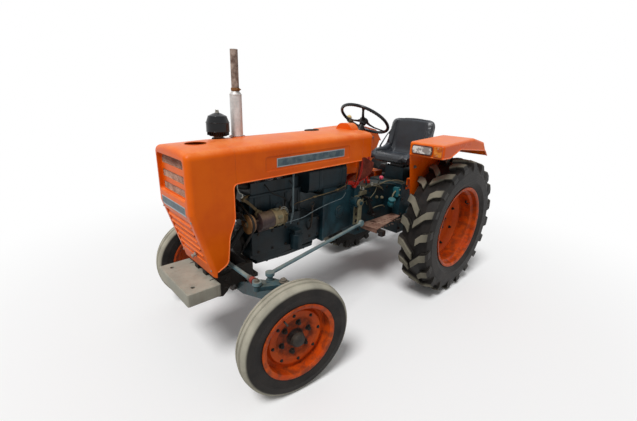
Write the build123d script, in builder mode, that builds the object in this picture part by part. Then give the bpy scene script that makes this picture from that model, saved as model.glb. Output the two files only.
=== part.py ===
# Vintage two-wheel-drive farm tractor with a narrow hood, parked with its front wheels turned a little.
# Millimetres. The front faces -Y, the left side is +X and the ground is Z = 0.
from build123d import *
from math import atan2, cos, degrees, radians, sin, sqrt, tan
import os

# Main lengths along the tractor, from the kingpin line
wheelbase = 1595
front_reach = 400
rear_reach = 620
kingpin_y = -(wheelbase + rear_reach - front_reach) / 2
axle_y = kingpin_y + wheelbase

# Clearances and plates
seat_gap = 0.3
running_gap = 0.06
sheet = 3

# Front wheels, and the angle at which they are parked
park_turn = -8
front_tyre_radius = 312
front_tyre_half_width = 55.5
front_bead_radius = 190
front_lip_radius = 209
front_lip_offset = 52
kingpin_x = 455
spindle_reach = 125
spindle_radius = 20
kingpin_radius = 18

# Rear wheels
rear_tyre_radius = 532
rear_tyre_half_width = 121
rear_track_x = 525
rear_bead_radius = 305
rear_lip_radius = 323
rear_lip_offset = 102
lug_count = 20
lug_height = 36
lug_width = 54
lug_bend = 66
lug_steep = 48
lug_flat = 20
lug_long_start = -6
lug_short_start = 34

# Hood and nose
hood_half_width = 200
hood_corner = 36
hood_crown = 12
hood_front = -101
hood_rear = 862
hood_front_top = 1238
hood_rear_top = 1262
hood_front_edge = 1047
hood_rear_edge = 1072
edge_corner = 28
side_recess_front = 77
side_recess_rear = 731
side_recess_low = 35
side_recess_height = 78
side_recess_depth = 2.5
nose_front = -350
nose_front_top = 1228
nose_kink_z = 922
nose_bottom = 559
nose_bottom_set_back = 106
nose_corner = 28
nose_side_bottom = 624
nose_edge_top = -116
nose_edge_low = -152
bend_radius = 40
grille_half_width = 154
grille_depth = 20
grille_margin = 10
louvre_half_width = 152
louvre_depth = 6
dash_length = 111

# Front frame, axle and weight
frame_half_width = 125
frame_wall = 26
frame_bottom = 440
frame_top = 545
weight_half_width = 198
weight_thickness = 70
weight_top = 521
weight_length = 183
weight_hole_x = 140
weight_hole_back = 55
weight_hole_radius = 11
axle_half_thickness = 30
pivot_z = 372
pivot_radius = 20
sleeve_radius = 34
sleeve_bottom = 430
sleeve_top = 540
arm_thickness = 24

# Steering linkage
tie_ball_in = 40
tie_ball_ahead = 129
drag_ball_in = 62
drag_ball_ahead = 45
joint_radius = 24
joint_half = 9
boot_radius = 15
stud_radius = 8
open_pivot_gap = 1
tie_rod_radius = 12
drag_rod_radius = 11
tie_ball_z = 580
drag_ball_z = 600
pitman_length = 150
pitman_x = 200
pitman_back = 903
pitman_z = 754
steer_wheel_back = 1095
steer_wheel_z = 1323
steer_wheel_radius = 197
steer_rim_radius = 12
column_lean = 33.5

# Engine, clutch housing and gearbox
engine_half_width = 120
engine_front = 25
engine_bottom = 515
engine_top = 930
fan_z = 840
bell_front = 560
bell_rear = 888
bell_half_width = 140
bell_bottom = 560
bell_top = 860
gearbox_half_width = 105
gearbox_bottom = 470
gearbox_top = 830
rear_case_half_width = 165
rear_case_front = wheelbase - 165
rear_case_rear = wheelbase + 145
rear_case_bottom = 380
rear_case_top = 812
trumpet_radius = 62
hub_face_x = 440
axle_shaft_radius = 30

# Lift linkage
link_pivot_z = 400
lift_pivot_z = 860
link_pivot_back = wheelbase + 72
link_droop = 6
lift_arm_length = 280
link_pivot_x = 232
link_ball_x = 341
lift_arm_x = 214
hitch_ball_radius = 28
hitch_bore_radius = 11.2
hitch_ball_width = 35
link_length = (wheelbase + rear_reach - link_pivot_back - hitch_ball_radius) / cos(radians(link_droop))

# Stack and pre-cleaner on the hood
stack_x = -115
stack_back = 95
stack_radius = 33.5
stack_pipe_radius = 21
stack_shoulder_z = 1474
stack_top = 1705
cleaner_back = -24
cleaner_radius = 63
cleaner_top = 1387

# Driver's place
seat_half_width = 222
seat_front = wheelbase - 197
seat_rear = wheelbase + 195
seat_low = 950
seat_top = 1322
fender_inner = 388
fender_outer = 638
fender_front = wheelbase - 455
fender_rear = wheelbase + 240
fender_top = 1203
fender_crest = 1226
step_z = 550


def back(distance):
    # Distance behind the kingpin line, as a place along Y
    return kingpin_y + distance


def outward(side, turn=0):
    # Direction along a wheel's axis, away from the tractor
    return Vector(side * cos(radians(turn)), side * sin(radians(turn)), 0)


def wheel_plane(centre, out):
    # Local x runs outward along the axle and local y points up
    return Plane(origin=centre, x_dir=out, z_dir=out.cross(Vector(0, 0, 1)))


def turned(side, inward, ahead):
    # A point on a knuckle, turned with it about the kingpin as the tractor is parked
    angle = radians(park_turn)
    x = -side * inward
    y = -ahead
    return (side * kingpin_x + x * cos(angle) - y * sin(angle), kingpin_y + x * sin(angle) + y * cos(angle))


front_centre = {
    side: Vector(side * kingpin_x, kingpin_y, front_tyre_radius) + outward(side, park_turn) * spindle_reach
    for side in (1, -1)
}
rear_centre = {side: Vector(side * rear_track_x, axle_y, rear_tyre_radius) for side in (1, -1)}
side_name = {1: "left", -1: "right"}

os.makedirs("parts", exist_ok=True)


def save(piece, name):
    piece.label = name
    export_step(piece, f"parts/{name}.step")


# Front wheels: (offset, radius) points, outward along the axle
for side in (1, -1):
    centre = front_centre[side]
    out = outward(side, park_turn)
    spin = Axis(centre, out)
    with BuildPart() as front_tyre:
        with BuildSketch(wheel_plane(centre, out)):
            rib_depth = 11
            rib_base = front_tyre_radius - rib_depth
            shoulder = front_tyre_half_width - 12
            wall_middle = (front_lip_radius + rib_base) / 2
            with BuildLine():
                Polyline(
                    (-front_lip_offset + 6, front_bead_radius + seat_gap),
                    (-front_lip_offset + 6, front_lip_radius),
                    (-front_tyre_half_width, wall_middle),
                    (-front_tyre_half_width + 3, (wall_middle + 2 * rib_base) / 3),
                    (-shoulder, rib_base),
                    (-shoulder + 5, front_tyre_radius - 6),
                    (-shoulder + 19, front_tyre_radius - 3),
                    (-shoulder + 21, rib_base),
                    (-11, rib_base + 2),
                    (-8, front_tyre_radius),
                    (8, front_tyre_radius),
                    (11, rib_base + 2),
                    (shoulder - 21, rib_base),
                    (shoulder - 19, front_tyre_radius - 3),
                    (shoulder - 5, front_tyre_radius - 6),
                    (shoulder, rib_base),
                    (front_tyre_half_width - 3, (wall_middle + 2 * rib_base) / 3),
                    (front_tyre_half_width, wall_middle),
                    (front_lip_offset - 6, front_lip_radius),
                    (front_lip_offset - 6, front_bead_radius + seat_gap),
                    close=True,
                )
            make_face()
        revolve(axis=spin)
    save(front_tyre.part, f"front_tyre_{side_name[side]}")

    lip_wall = 5.5
    bore = spindle_radius + running_gap
    with BuildPart() as front_rim:
        with BuildSketch(wheel_plane(centre, out)):
            with BuildLine():
                Polyline(
                    (-front_lip_offset, front_lip_radius),
                    (lip_wall - front_lip_offset, front_lip_radius),
                    (lip_wall - front_lip_offset, front_bead_radius),
                    (front_lip_offset - lip_wall, front_bead_radius),
                    (front_lip_offset - lip_wall, front_lip_radius),
                    (front_lip_offset, front_lip_radius),
                    (front_lip_offset, front_bead_radius + 8),
                    (front_lip_offset - 6, front_bead_radius - 5),
                    (6 - front_lip_offset, front_bead_radius - 5),
                    (-front_lip_offset, front_bead_radius + 8),
                    close=True,
                )
            make_face()
            with BuildLine():
                Polyline(
                    (-20, front_bead_radius - 2),
                    (-20, 158),
                    (-2, 146),
                    (0, 122),
                    (-14, 104),
                    (-14, 38),
                    (-6, 38),
                    (-6, 101),
                    (8, 119),
                    (6, 150),
                    (-12, 162),
                    (-12, front_bead_radius - 2),
                    close=True,
                )
            make_face()
            with BuildLine():
                Polyline(
                    (-36, bore),
                    (-36, 42),
                    (-14, 48),
                    (-6, 48),
                    (10, 40),
                    (36, 36),
                    (44, 24),
                    (46, 0),
                    (34, 0),
                    (34, bore),
                    close=True,
                )
            make_face()
        revolve(axis=spin)
    save(front_rim.part, f"front_rim_{side_name[side]}")


def lug_rise(x):
    # How far a lug has run round the tyre at a distance from its middle: steep at first, then flatter
    return min(x, lug_bend) * tan(radians(lug_steep)) + max(x - lug_bend, 0) * tan(radians(lug_flat))


# Rear wheels: carcass, chevron lugs cut from a ring, and a deep dished rim
lug_base = rear_tyre_radius - lug_height
for side in (1, -1):
    centre = rear_centre[side]
    out = outward(side)
    spin = Axis(centre, out)
    plane = wheel_plane(centre, out)
    half = rear_tyre_half_width
    with BuildPart() as lug_ring:
        with BuildSketch(plane):
            with BuildLine():
                Polyline(
                    (-half + 4, lug_base - 54),
                    (-half, lug_base - 10),
                    (-half + 10, rear_tyre_radius - 12),
                    (-30, rear_tyre_radius),
                    (30, rear_tyre_radius),
                    (half - 10, rear_tyre_radius - 12),
                    (half, lug_base - 10),
                    (half - 4, lug_base - 54),
                    (half - 24, lug_base - 40),
                    (-half + 24, lug_base - 40),
                    close=True,
                )
            make_face()
        revolve(axis=spin)
    with BuildPart() as lug_bars:
        for index in range(lug_count):
            for row in (1, -1):
                angle = (index + 0.25 * row) * 360 / lug_count
                lug_plane = Plane(
                    origin=centre + Vector(0, -sin(radians(angle)), cos(radians(angle))) * (lug_base - 60),
                    x_dir=out,
                    z_dir=(0, -sin(radians(angle)), cos(radians(angle))),
                )
                # Every second lug is short and starts part way out
                near = lug_short_start if index % 2 else lug_long_start
                far = half + 6
                path = [(row * x, side * lug_rise(x)) for x in (near, lug_bend, far)]
                with BuildSketch(lug_plane):
                    with BuildLine():
                        Polyline(
                            *[(x, rise - lug_width / 2) for x, rise in path],
                            *[(x, rise + lug_width / 2) for x, rise in reversed(path)],
                            close=True,
                        )
                    make_face()
                extrude(amount=lug_height + 80)
    with BuildPart() as rear_tyre:
        add(lug_bars.part)
        add(lug_ring.part, mode=Mode.INTERSECT)
        with BuildSketch(plane):
            with BuildLine():
                Polyline(
                    (-rear_lip_offset + 8, rear_bead_radius + seat_gap),
                    (-rear_lip_offset + 8, rear_lip_radius + 1),
                    (-half + 2, rear_lip_radius + 50),
                    (-half + 2, lug_base - 60),
                    (-half + 16, lug_base - 12),
                    (-40, lug_base),
                    (40, lug_base),
                    (half - 16, lug_base - 12),
                    (half - 2, lug_base - 60),
                    (half - 2, rear_lip_radius + 50),
                    (rear_lip_offset - 8, rear_lip_radius + 1),
                    (rear_lip_offset - 8, rear_bead_radius + seat_gap),
                    close=True,
                )
            make_face()
        revolve(axis=spin)
    save(rear_tyre.part, f"rear_tyre_{side_name[side]}")

    with BuildPart() as rear_rim:
        face = hub_face_x - rear_track_x
        with BuildSketch(plane):
            with BuildLine():
                Polyline(
                    (-rear_lip_offset, rear_lip_radius),
                    (7 - rear_lip_offset, rear_lip_radius),
                    (7 - rear_lip_offset, rear_bead_radius),
                    (-60, rear_bead_radius),
                    (-46, rear_bead_radius - 19),
                    (46, rear_bead_radius - 19),
                    (60, rear_bead_radius),
                    (rear_lip_offset - 7, rear_bead_radius),
                    (rear_lip_offset - 7, rear_lip_radius),
                    (rear_lip_offset, rear_lip_radius),
                    (rear_lip_offset, rear_bead_radius + 7),
                    (rear_lip_offset - 7, rear_bead_radius - 6),
                    (62, rear_bead_radius - 6),
                    (49, rear_bead_radius - 25),
                    (-49, rear_bead_radius - 25),
                    (-62, rear_bead_radius - 6),
                    (7 - rear_lip_offset, rear_bead_radius - 6),
                    (-rear_lip_offset, rear_bead_radius + 7),
                    close=True,
                )
            make_face()
            with BuildLine():
                Polyline(
                    (-44, rear_bead_radius - 22),
                    (-44, 262),
                    (-78, 236),
                    (face, 200),
                    (face, 90),
                    (face + 8, 90),
                    (face + 8, 198),
                    (-70, 230),
                    (-36, 257),
                    (-36, rear_bead_radius - 22),
                    close=True,
                )
            make_face()
            with BuildLine():
                Polyline(
                    (face - 60, 0),
                    (face - 60, axle_shaft_radius),
                    (face - 26, axle_shaft_radius),
                    (face - 26, 50),
                    (face - 12, 54),
                    (face - 12, 96),
                    (face + 5, 96),
                    (face + 5, 60),
                    (face + 24, 52),
                    (face + 32, 34),
                    (face + 32, 0),
                    close=True,
                )
            make_face()
        revolve(axis=spin)
    save(rear_rim.part, f"rear_rim_{side_name[side]}")

# Cast front frame: a ring of rails, a shelf for the weight and two ears for the axle's pivot
ring_front = back(weight_length - front_reach) + seat_gap
ring_rear = back(engine_front) - seat_gap
weight_bottom = weight_top - weight_thickness
nose_lug_ahead = ring_front - back(nose_front + nose_bottom_set_back) - sheet - seat_gap
ear_inner = axle_half_thickness + 8
ear_outer = ear_inner + 20
with BuildPart() as front_frame:
    with BuildSketch(Plane.XY.offset(frame_bottom)):
        with Locations((0, (ring_front + ring_rear) / 2)):
            Rectangle(2 * frame_half_width, ring_rear - ring_front)
            Rectangle(
                2 * (frame_half_width - frame_wall),
                ring_rear - ring_front - 2 * frame_wall,
                mode=Mode.SUBTRACT,
            )
    extrude(amount=frame_top - frame_bottom)
    with BuildSketch(Plane.XY.offset(weight_bottom - seat_gap)):
        with Locations((0, ring_front - 60)):
            Rectangle(2 * frame_half_width - 20, 160)
    extrude(amount=-18)
    with BuildSketch(Plane.XY.offset(frame_top - 20)):
        with Locations((50, ring_front), (-50, ring_front)):
            Rectangle(40, 2 * nose_lug_ahead)
    extrude(amount=50)
    with BuildSketch(Plane.XY.offset(frame_bottom)):
        with Locations((0, kingpin_y)):
            Rectangle(2 * frame_half_width, 2 * ear_outer)
    extrude(amount=22)
    for face in (ear_inner, -ear_outer):
        with BuildSketch(Plane.XZ.offset(-kingpin_y - face)):
            with Locations((0, pivot_z)):
                Circle(44)
            with Locations((0, (pivot_z + frame_bottom + 10) / 2)):
                Rectangle(110, frame_bottom + 10 - pivot_z)
        extrude(amount=-(ear_outer - ear_inner))
    with BuildSketch(Plane.XZ.offset(-kingpin_y + ear_outer + 8)):
        with Locations((0, pivot_z)):
            Circle(pivot_radius)
    extrude(amount=-2 * ear_outer - 16)
save(front_frame.part, "front_frame")

with BuildPart() as front_weight:
    with BuildSketch(Plane.XY.offset(weight_bottom)):
        with Locations((0, back(-front_reach) + weight_length / 2)):
            Rectangle(2 * weight_half_width, weight_length)
    extrude(amount=weight_thickness)
    fillet(front_weight.edges().filter_by(Axis.Z), 10)
    chamfer(front_weight.faces().sort_by(Axis.Z)[-1].edges(), 4)
    with Locations(
        (weight_hole_x, back(-front_reach) + weight_hole_back, weight_top),
        (-weight_hole_x, back(-front_reach) + weight_hole_back, weight_top),
    ):
        Hole(weight_hole_radius)
save(front_weight.part, "front_weight")

# Front axle: an arched beam with a pivot boss and a kingpin sleeve at each end
with BuildPart() as front_axle:
    with BuildSketch(Plane.XZ.offset(-kingpin_y + axle_half_thickness)):
        with BuildLine():
            Polyline(
                (0, pivot_z - 42),
                (90, pivot_z - 38),
                (kingpin_x - 40, sleeve_bottom + 6),
                (kingpin_x - 12, sleeve_bottom + 6),
                (kingpin_x - 12, sleeve_top - 8),
                (kingpin_x - 70, sleeve_top - 14),
                (70, pivot_z + 38),
                (0, pivot_z + 42),
                close=True,
            )
        make_face()
        mirror(about=Plane.YZ)
        with Locations((0, pivot_z)):
            Circle(pivot_radius + running_gap, mode=Mode.SUBTRACT)
    extrude(amount=-2 * axle_half_thickness)
    with BuildSketch(Plane.XY.offset(sleeve_bottom)):
        with Locations((kingpin_x, kingpin_y), (-kingpin_x, kingpin_y)):
            Circle(sleeve_radius)
    extrude(amount=sleeve_top - sleeve_bottom)
    with BuildSketch(Plane.XY.offset(sleeve_bottom - 10)):
        with Locations((kingpin_x, kingpin_y), (-kingpin_x, kingpin_y)):
            Circle(kingpin_radius + running_gap)
    extrude(amount=sleeve_top - sleeve_bottom + 20, mode=Mode.SUBTRACT)
save(front_axle.part, "front_axle")

# Knuckles: kingpin, spindle and the forged arm on top
arm_bottom = sleeve_top + seat_gap
arm_top = arm_bottom + arm_thickness
for side in (1, -1):
    centre = front_centre[side]
    out = outward(side, park_turn)
    tie_x, tie_y = turned(side, tie_ball_in, tie_ball_ahead)
    drag_x, drag_y = turned(side, drag_ball_in, drag_ball_ahead)
    with BuildPart() as knuckle:
        with BuildSketch(Plane.XY.offset(front_tyre_radius - 30)):
            with Locations((side * kingpin_x, kingpin_y)):
                Circle(kingpin_radius)
        extrude(amount=arm_top + 8 - front_tyre_radius + 30)
        with BuildSketch(Plane.XY.offset(front_tyre_radius - 32)):
            with Locations((side * kingpin_x, kingpin_y)):
                Circle(sleeve_radius - 4)
        extrude(amount=sleeve_bottom - seat_gap - front_tyre_radius + 32)
        root = Vector(side * kingpin_x, kingpin_y, front_tyre_radius)
        with BuildSketch(Plane(origin=root, x_dir=(0, 0, 1), z_dir=out)):
            Circle(spindle_radius)
        extrude(amount=spindle_reach + 30)
        with BuildSketch(Plane(origin=root, x_dir=(0, 0, 1), z_dir=out)):
            Circle(28)
        extrude(amount=spindle_reach - 42)
        with BuildSketch(Plane.XY.offset(arm_bottom)):
            with Locations((side * kingpin_x, kingpin_y)):
                Circle(sleeve_radius)
            with Locations((tie_x, tie_y)):
                Circle(20)
            arm_angle = degrees(atan2(tie_y - kingpin_y, tie_x - side * kingpin_x))
            arm_span = sqrt((tie_y - kingpin_y) ** 2 + (tie_x - side * kingpin_x) ** 2)
            arm_middle = ((tie_x + side * kingpin_x) / 2, (tie_y + kingpin_y) / 2, 0)
            with Locations(Location(arm_middle, (0, 0, arm_angle))):
                Rectangle(arm_span, 34)
            if side == 1:
                with Locations((drag_x, drag_y)):
                    Circle(22)
                drag_angle = degrees(atan2(drag_y - kingpin_y, drag_x - kingpin_x))
                drag_span = sqrt((drag_y - kingpin_y) ** 2 + (drag_x - kingpin_x) ** 2)
                drag_middle = ((drag_x + kingpin_x) / 2, (drag_y + kingpin_y) / 2, 0)
                with Locations(Location(drag_middle, (0, 0, drag_angle))):
                    Rectangle(drag_span, 40)
        extrude(amount=arm_thickness)
        if side == 1:
            for stud, height in (((tie_x, tie_y), tie_ball_z), ((drag_x, drag_y), drag_ball_z)):
                with BuildSketch(Plane.XY.offset(arm_top - 4)):
                    with Locations(stud):
                        Circle(stud_radius)
                extrude(amount=height - arm_top + 4)
    save(knuckle.part, f"knuckle_{side_name[side]}")

# Tie rod: a straight tube with a ball housing and boot over each arm. The left housing takes the stud,
# and the right one rides just above its arm, where the linkage is open
tie_ends = [Vector(*turned(side, tie_ball_in, tie_ball_ahead), tie_ball_z) for side in (1, -1)]
housing_lap = 3
with BuildPart() as tie_rod:
    along = (tie_ends[1] - tie_ends[0]).normalized()
    rod_start = tie_ends[0] + along * (joint_radius - housing_lap)
    with BuildSketch(Plane(origin=rod_start, x_dir=(0, 0, 1), z_dir=along)):
        Circle(tie_rod_radius)
    extrude(amount=(tie_ends[1] - tie_ends[0]).length - 2 * (joint_radius - housing_lap))
    with BuildSketch(Plane.XY.offset(tie_ball_z - joint_half)):
        with Locations(*[(end.X, end.Y) for end in tie_ends]):
            Circle(joint_radius)
    extrude(amount=2 * joint_half)
    for end, gap in ((tie_ends[0], seat_gap), (tie_ends[1], open_pivot_gap)):
        with BuildSketch(Plane.XY.offset(arm_top + gap)):
            with Locations((end.X, end.Y)):
                Circle(boot_radius)
        extrude(amount=tie_ball_z - arm_top - gap)
    with BuildSketch(Plane.XY.offset(arm_top)):
        with Locations((tie_ends[0].X, tie_ends[0].Y)):
            Circle(stud_radius + running_gap)
    extrude(amount=tie_ball_z + seat_gap - arm_top, mode=Mode.SUBTRACT)
save(tie_rod.part, "tie_rod")

# Drag link: from the stud on the left knuckle's arm back to the pitman arm, where the linkage is open
pitman_face = pitman_x - joint_half - 6
drag_front = Vector(*turned(1, drag_ball_in, drag_ball_ahead), drag_ball_z)
drag_rear = Vector(pitman_x, back(pitman_back), pitman_z - pitman_length)
with BuildPart() as drag_link:
    along = (drag_rear - drag_front).normalized()
    rod_start = drag_front + along * (joint_radius - housing_lap)
    with BuildSketch(Plane(origin=rod_start, x_dir=(0, 0, 1), z_dir=along)):
        Circle(drag_rod_radius)
    extrude(amount=(drag_rear - drag_front).length - 2 * (joint_radius - housing_lap))
    with BuildSketch(Plane.XY.offset(drag_ball_z - joint_half)):
        with Locations((drag_front.X, drag_front.Y)):
            Circle(joint_radius)
    extrude(amount=2 * joint_half)
    with BuildSketch(Plane.XY.offset(arm_top + seat_gap)):
        with Locations((drag_front.X, drag_front.Y)):
            Circle(boot_radius)
    extrude(amount=drag_ball_z - arm_top - seat_gap)
    with BuildSketch(Plane.XY.offset(arm_top)):
        with Locations((drag_front.X, drag_front.Y)):
            Circle(stud_radius + running_gap)
    extrude(amount=drag_ball_z + seat_gap - arm_top, mode=Mode.SUBTRACT)
    with BuildSketch(Plane.YZ.offset(pitman_x - joint_half)):
        with Locations((drag_rear.Y, drag_rear.Z)):
            Circle(joint_radius)
    extrude(amount=2 * joint_half)
    with BuildSketch(Plane.YZ.offset(pitman_face + open_pivot_gap)):
        with Locations((drag_rear.Y, drag_rear.Z)):
            Circle(boot_radius)
    extrude(amount=joint_half)
save(drag_link.part, "drag_link")

# Pitman arm on the steering box's cross shaft
pitman_plate = 16
cross_shaft_radius = 14
with BuildPart() as pitman_arm:
    with BuildSketch(Plane.YZ.offset(pitman_face)):
        with Locations((back(pitman_back), pitman_z)):
            Circle(28)
        with Locations((back(pitman_back), pitman_z - pitman_length)):
            Circle(17)
        with Locations((back(pitman_back), pitman_z - pitman_length / 2)):
            Rectangle(28, pitman_length)
        with Locations((back(pitman_back), pitman_z)):
            Circle(cross_shaft_radius + running_gap, mode=Mode.SUBTRACT)
    extrude(amount=-pitman_plate)
save(pitman_arm.part, "pitman_arm")

# Engine: crankcase with its pan, cylinder block, head, valve cover and what is bolted to its sides
crank_top = 715
block_half_width = 78
block_front = engine_front + 15
block_rear = 420
head_half_width = 76
head_top = 1000
pan_step = 22
pan_joint_z = 575
crank_z = 640
pump_back = 320
pump_height = 70
filter_back = 330
filter_x = 154
filter_bottom = 560
filter_height = 96
manifold_bottom = 870
manifold_height = 48
starter_back = 380
starter_length = 170
with BuildPart() as engine_block:
    with BuildSketch(Plane.YZ):
        with BuildLine():
            Polyline(
                (back(engine_front), engine_bottom + 40),
                (back(engine_front + 60), engine_bottom),
                (back(bell_front) - seat_gap, engine_bottom + 25),
                (back(bell_front) - seat_gap, crank_top),
                (back(engine_front), crank_top),
                close=True,
            )
        make_face()
    extrude(amount=engine_half_width - pan_step, both=True)
    # Crankcase above the pan's joint, wider than the pan
    with BuildSketch(Plane.XY.offset(pan_joint_z)):
        with Locations((0, (back(engine_front) + back(bell_front) - seat_gap) / 2)):
            Rectangle(2 * engine_half_width, bell_front - seat_gap - engine_front)
    extrude(amount=crank_top - pan_joint_z)
    with BuildSketch(Plane.XY.offset(crank_top)):
        with Locations((0, back((block_front + block_rear) / 2))):
            Rectangle(2 * block_half_width, block_rear - block_front)
    extrude(amount=engine_top - crank_top)
    with BuildSketch(Plane.XY.offset(engine_top - 16)):
        with Locations((0, back((block_front + block_rear) / 2))):
            Rectangle(2 * block_half_width + 14, block_rear - block_front)
    extrude(amount=16)
    with BuildSketch(Plane.XY.offset(engine_top)):
        with Locations((0, back((block_front + block_rear) / 2))):
            Rectangle(2 * head_half_width, block_rear - block_front - 30)
    extrude(amount=head_top - engine_top)
    # Water jacket ribs on the left and core plugs between them
    for place in (80, 190, 300, 400):
        with BuildSketch(Plane.XY.offset(crank_top)):
            with Locations((block_half_width, back(place))):
                Rectangle(10, 12)
        extrude(amount=engine_top - crank_top)
    with BuildSketch(Plane.YZ.offset(block_half_width)):
        with Locations((back(245), 830), (back(350), 830)):
            Circle(24)
    extrude(amount=6)
    # Injection pump on the left, behind the generator, with its outlets
    with BuildSketch(Plane.XY.offset(crank_top)):
        with Locations((engine_half_width - 30, back(pump_back))):
            Rectangle(56, 130)
    extrude(amount=pump_height)
    with BuildSketch(Plane.XY.offset(crank_top + pump_height)):
        for place in (pump_back - 30, pump_back + 30):
            with Locations((engine_half_width - 30, back(place))):
                Circle(11)
    extrude(amount=24)
    # Oil filter on the left, hung from its head
    with BuildSketch(Plane.XY.offset(filter_bottom)):
        with Locations((filter_x, back(filter_back))):
            Circle(38)
    extrude(amount=filter_height)
    with BuildSketch(Plane.XY.offset(filter_bottom + filter_height)):
        with Locations((filter_x - 14, back(filter_back))):
            Rectangle(70, 60)
    extrude(amount=26)
    # Exhaust manifold on the right, with its outlet up to the stack, and the starter
    with BuildSketch(Plane.XY.offset(manifold_bottom)):
        with Locations((-block_half_width - 26, back((block_front + block_rear) / 2))):
            Rectangle(56, 330)
    extrude(amount=manifold_height)
    with BuildSketch(Plane.XY.offset(manifold_bottom + 30)):
        with Locations((stack_x, back(stack_back))):
            Circle(24)
    extrude(amount=head_top - manifold_bottom - 30)
    with BuildSketch(Plane.XZ.offset(-back(starter_back))):
        with Locations((-engine_half_width - 40, crank_z + 15)):
            Circle(44)
    extrude(amount=-starter_length)
    # Water pump behind the fan
    with BuildSketch(Plane.XZ.offset(-back(engine_front))):
        with Locations((0, fan_z)):
            Circle(40)
    extrude(amount=-20)
save(engine_block.part, "engine_block")

# Radiator on the front frame, with its filler neck under the opening in the nose
radiator_front = back(-215)
radiator_rear = back(-165)
radiator_half_width = 150
radiator_bottom = 590
radiator_top = 1168
with BuildPart() as radiator:
    with BuildSketch(Plane.XY.offset(radiator_bottom)):
        with Locations((0, (radiator_front + radiator_rear) / 2)):
            Rectangle(2 * radiator_half_width, radiator_rear - radiator_front)
    extrude(amount=radiator_top - radiator_bottom)
    with BuildSketch(Plane.XY.offset(frame_top + seat_gap)):
        for x in (frame_half_width - 20, 20 - frame_half_width):
            with Locations((x, radiator_front + 12)):
                Rectangle(34, 24)
    extrude(amount=radiator_bottom - frame_top)
    with BuildSketch(Plane.XY.offset(radiator_top - 1)):
        with Locations((0, back(-200))):
            Circle(24)
    extrude(amount=30)
    with BuildSketch(Plane.XY.offset(radiator_top + 20)):
        with Locations((0, back(-200))):
            Circle(33)
    extrude(amount=18)
save(radiator.part, "radiator")


def hood_outline(y, half_width, bottom, top, corner, crown):
    # An inverted U closed along its lower edge, drawn across the tractor at the place y
    with BuildSketch(Plane.XZ.offset(-y)) as outline:
        with BuildLine():
            edge = top - crown
            Line((-half_width, bottom), (half_width, bottom))
            Line((half_width, bottom), (half_width, edge - corner))
            TangentArc((half_width, edge - corner), (half_width - corner, edge), tangent=(0, 1))
            ThreePointArc((half_width - corner, edge), (0, top), (corner - half_width, edge))
            TangentArc((-half_width, edge - corner), (corner - half_width, edge), tangent=(0, 1))
            Line((-half_width, edge - corner), (-half_width, bottom))
        make_face()
    return outline.sketch


def along_hood(distance, at_front, at_rear):
    # A height that changes evenly from the hood's front to its rear
    share = (distance - hood_front) / (hood_rear - hood_front)
    return at_front + share * (at_rear - at_front)


def hood_top(distance):
    return along_hood(distance, hood_front_top, hood_rear_top)


def hood_edge(distance):
    return along_hood(distance, hood_front_edge, hood_rear_edge)


# The opening below the sheet metal: under the hood's edge, behind the nose's bent edge and under its side
nose_foot = nose_front + nose_bottom_set_back + 12
with BuildPart() as side_opening:
    with BuildSketch(Plane.YZ):
        with BuildLine():
            FilletPolyline(
                (back(hood_rear) + 10, hood_edge(hood_rear + 10)),
                (back(nose_edge_top), hood_edge(nose_edge_top)),
                (back(nose_edge_top), 860),
                (back(nose_edge_low), 770),
                (back(nose_edge_low - 15), nose_side_bottom),
                radius=[edge_corner, bend_radius, bend_radius],
            )
            Polyline(
                (back(nose_edge_low - 15), nose_side_bottom),
                (back(nose_foot), nose_side_bottom - 32),
                (back(nose_foot), nose_bottom - 30),
                (back(hood_rear) + 10, nose_bottom - 30),
                (back(hood_rear) + 10, hood_edge(hood_rear + 10)),
            )
        make_face()
    extrude(amount=hood_half_width + 5, both=True)

# Hood: a sheet lofted between its two ends, open below and at both ends, with a shallow pressed panel in
# each side
with BuildPart() as hood:
    for inset, overrun, mode in ((0, 0, Mode.ADD), (sheet, 1, Mode.SUBTRACT)):
        for distance in (hood_front - overrun, hood_rear + overrun):
            add(
                hood_outline(
                    back(distance),
                    hood_half_width - inset,
                    hood_front_edge - 30 - 2 * inset,
                    hood_top(distance) - inset,
                    hood_corner - inset,
                    hood_crown,
                )
            )
        loft(mode=mode)
    recess_ends = (side_recess_front, side_recess_rear)
    for side in (1, -1):
        for grow, depth_from, depth_to, mode in (
            (sheet, sheet - 0.1, sheet + side_recess_depth, Mode.ADD),
            (0, -1, side_recess_depth, Mode.SUBTRACT),
        ):
            with BuildSketch(Plane.YZ.offset(side * (hood_half_width - depth_from))):
                with BuildLine():
                    low = [hood_edge(distance) + side_recess_low - grow for distance in recess_ends]
                    FilletPolyline(
                        (back(side_recess_front) - grow, low[0]),
                        (back(side_recess_rear) + grow, low[1]),
                        (back(side_recess_rear) + grow, low[1] + side_recess_height + 2 * grow),
                        (back(side_recess_front) - grow, low[0] + side_recess_height + 2 * grow),
                        radius=10,
                        close=True,
                    )
                make_face()
            extrude(amount=side * (depth_from - depth_to), mode=mode)
    add(side_opening.part, mode=Mode.SUBTRACT)
    with BuildSketch(Plane.XY.offset(hood_front_edge)):
        with Locations((stack_x, back(stack_back))):
            Circle(stack_radius + 9)
        with Locations((stack_x, back(cleaner_back))):
            Circle(33)
    extrude(amount=400, mode=Mode.SUBTRACT)
save(hood.part, "hood")


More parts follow.
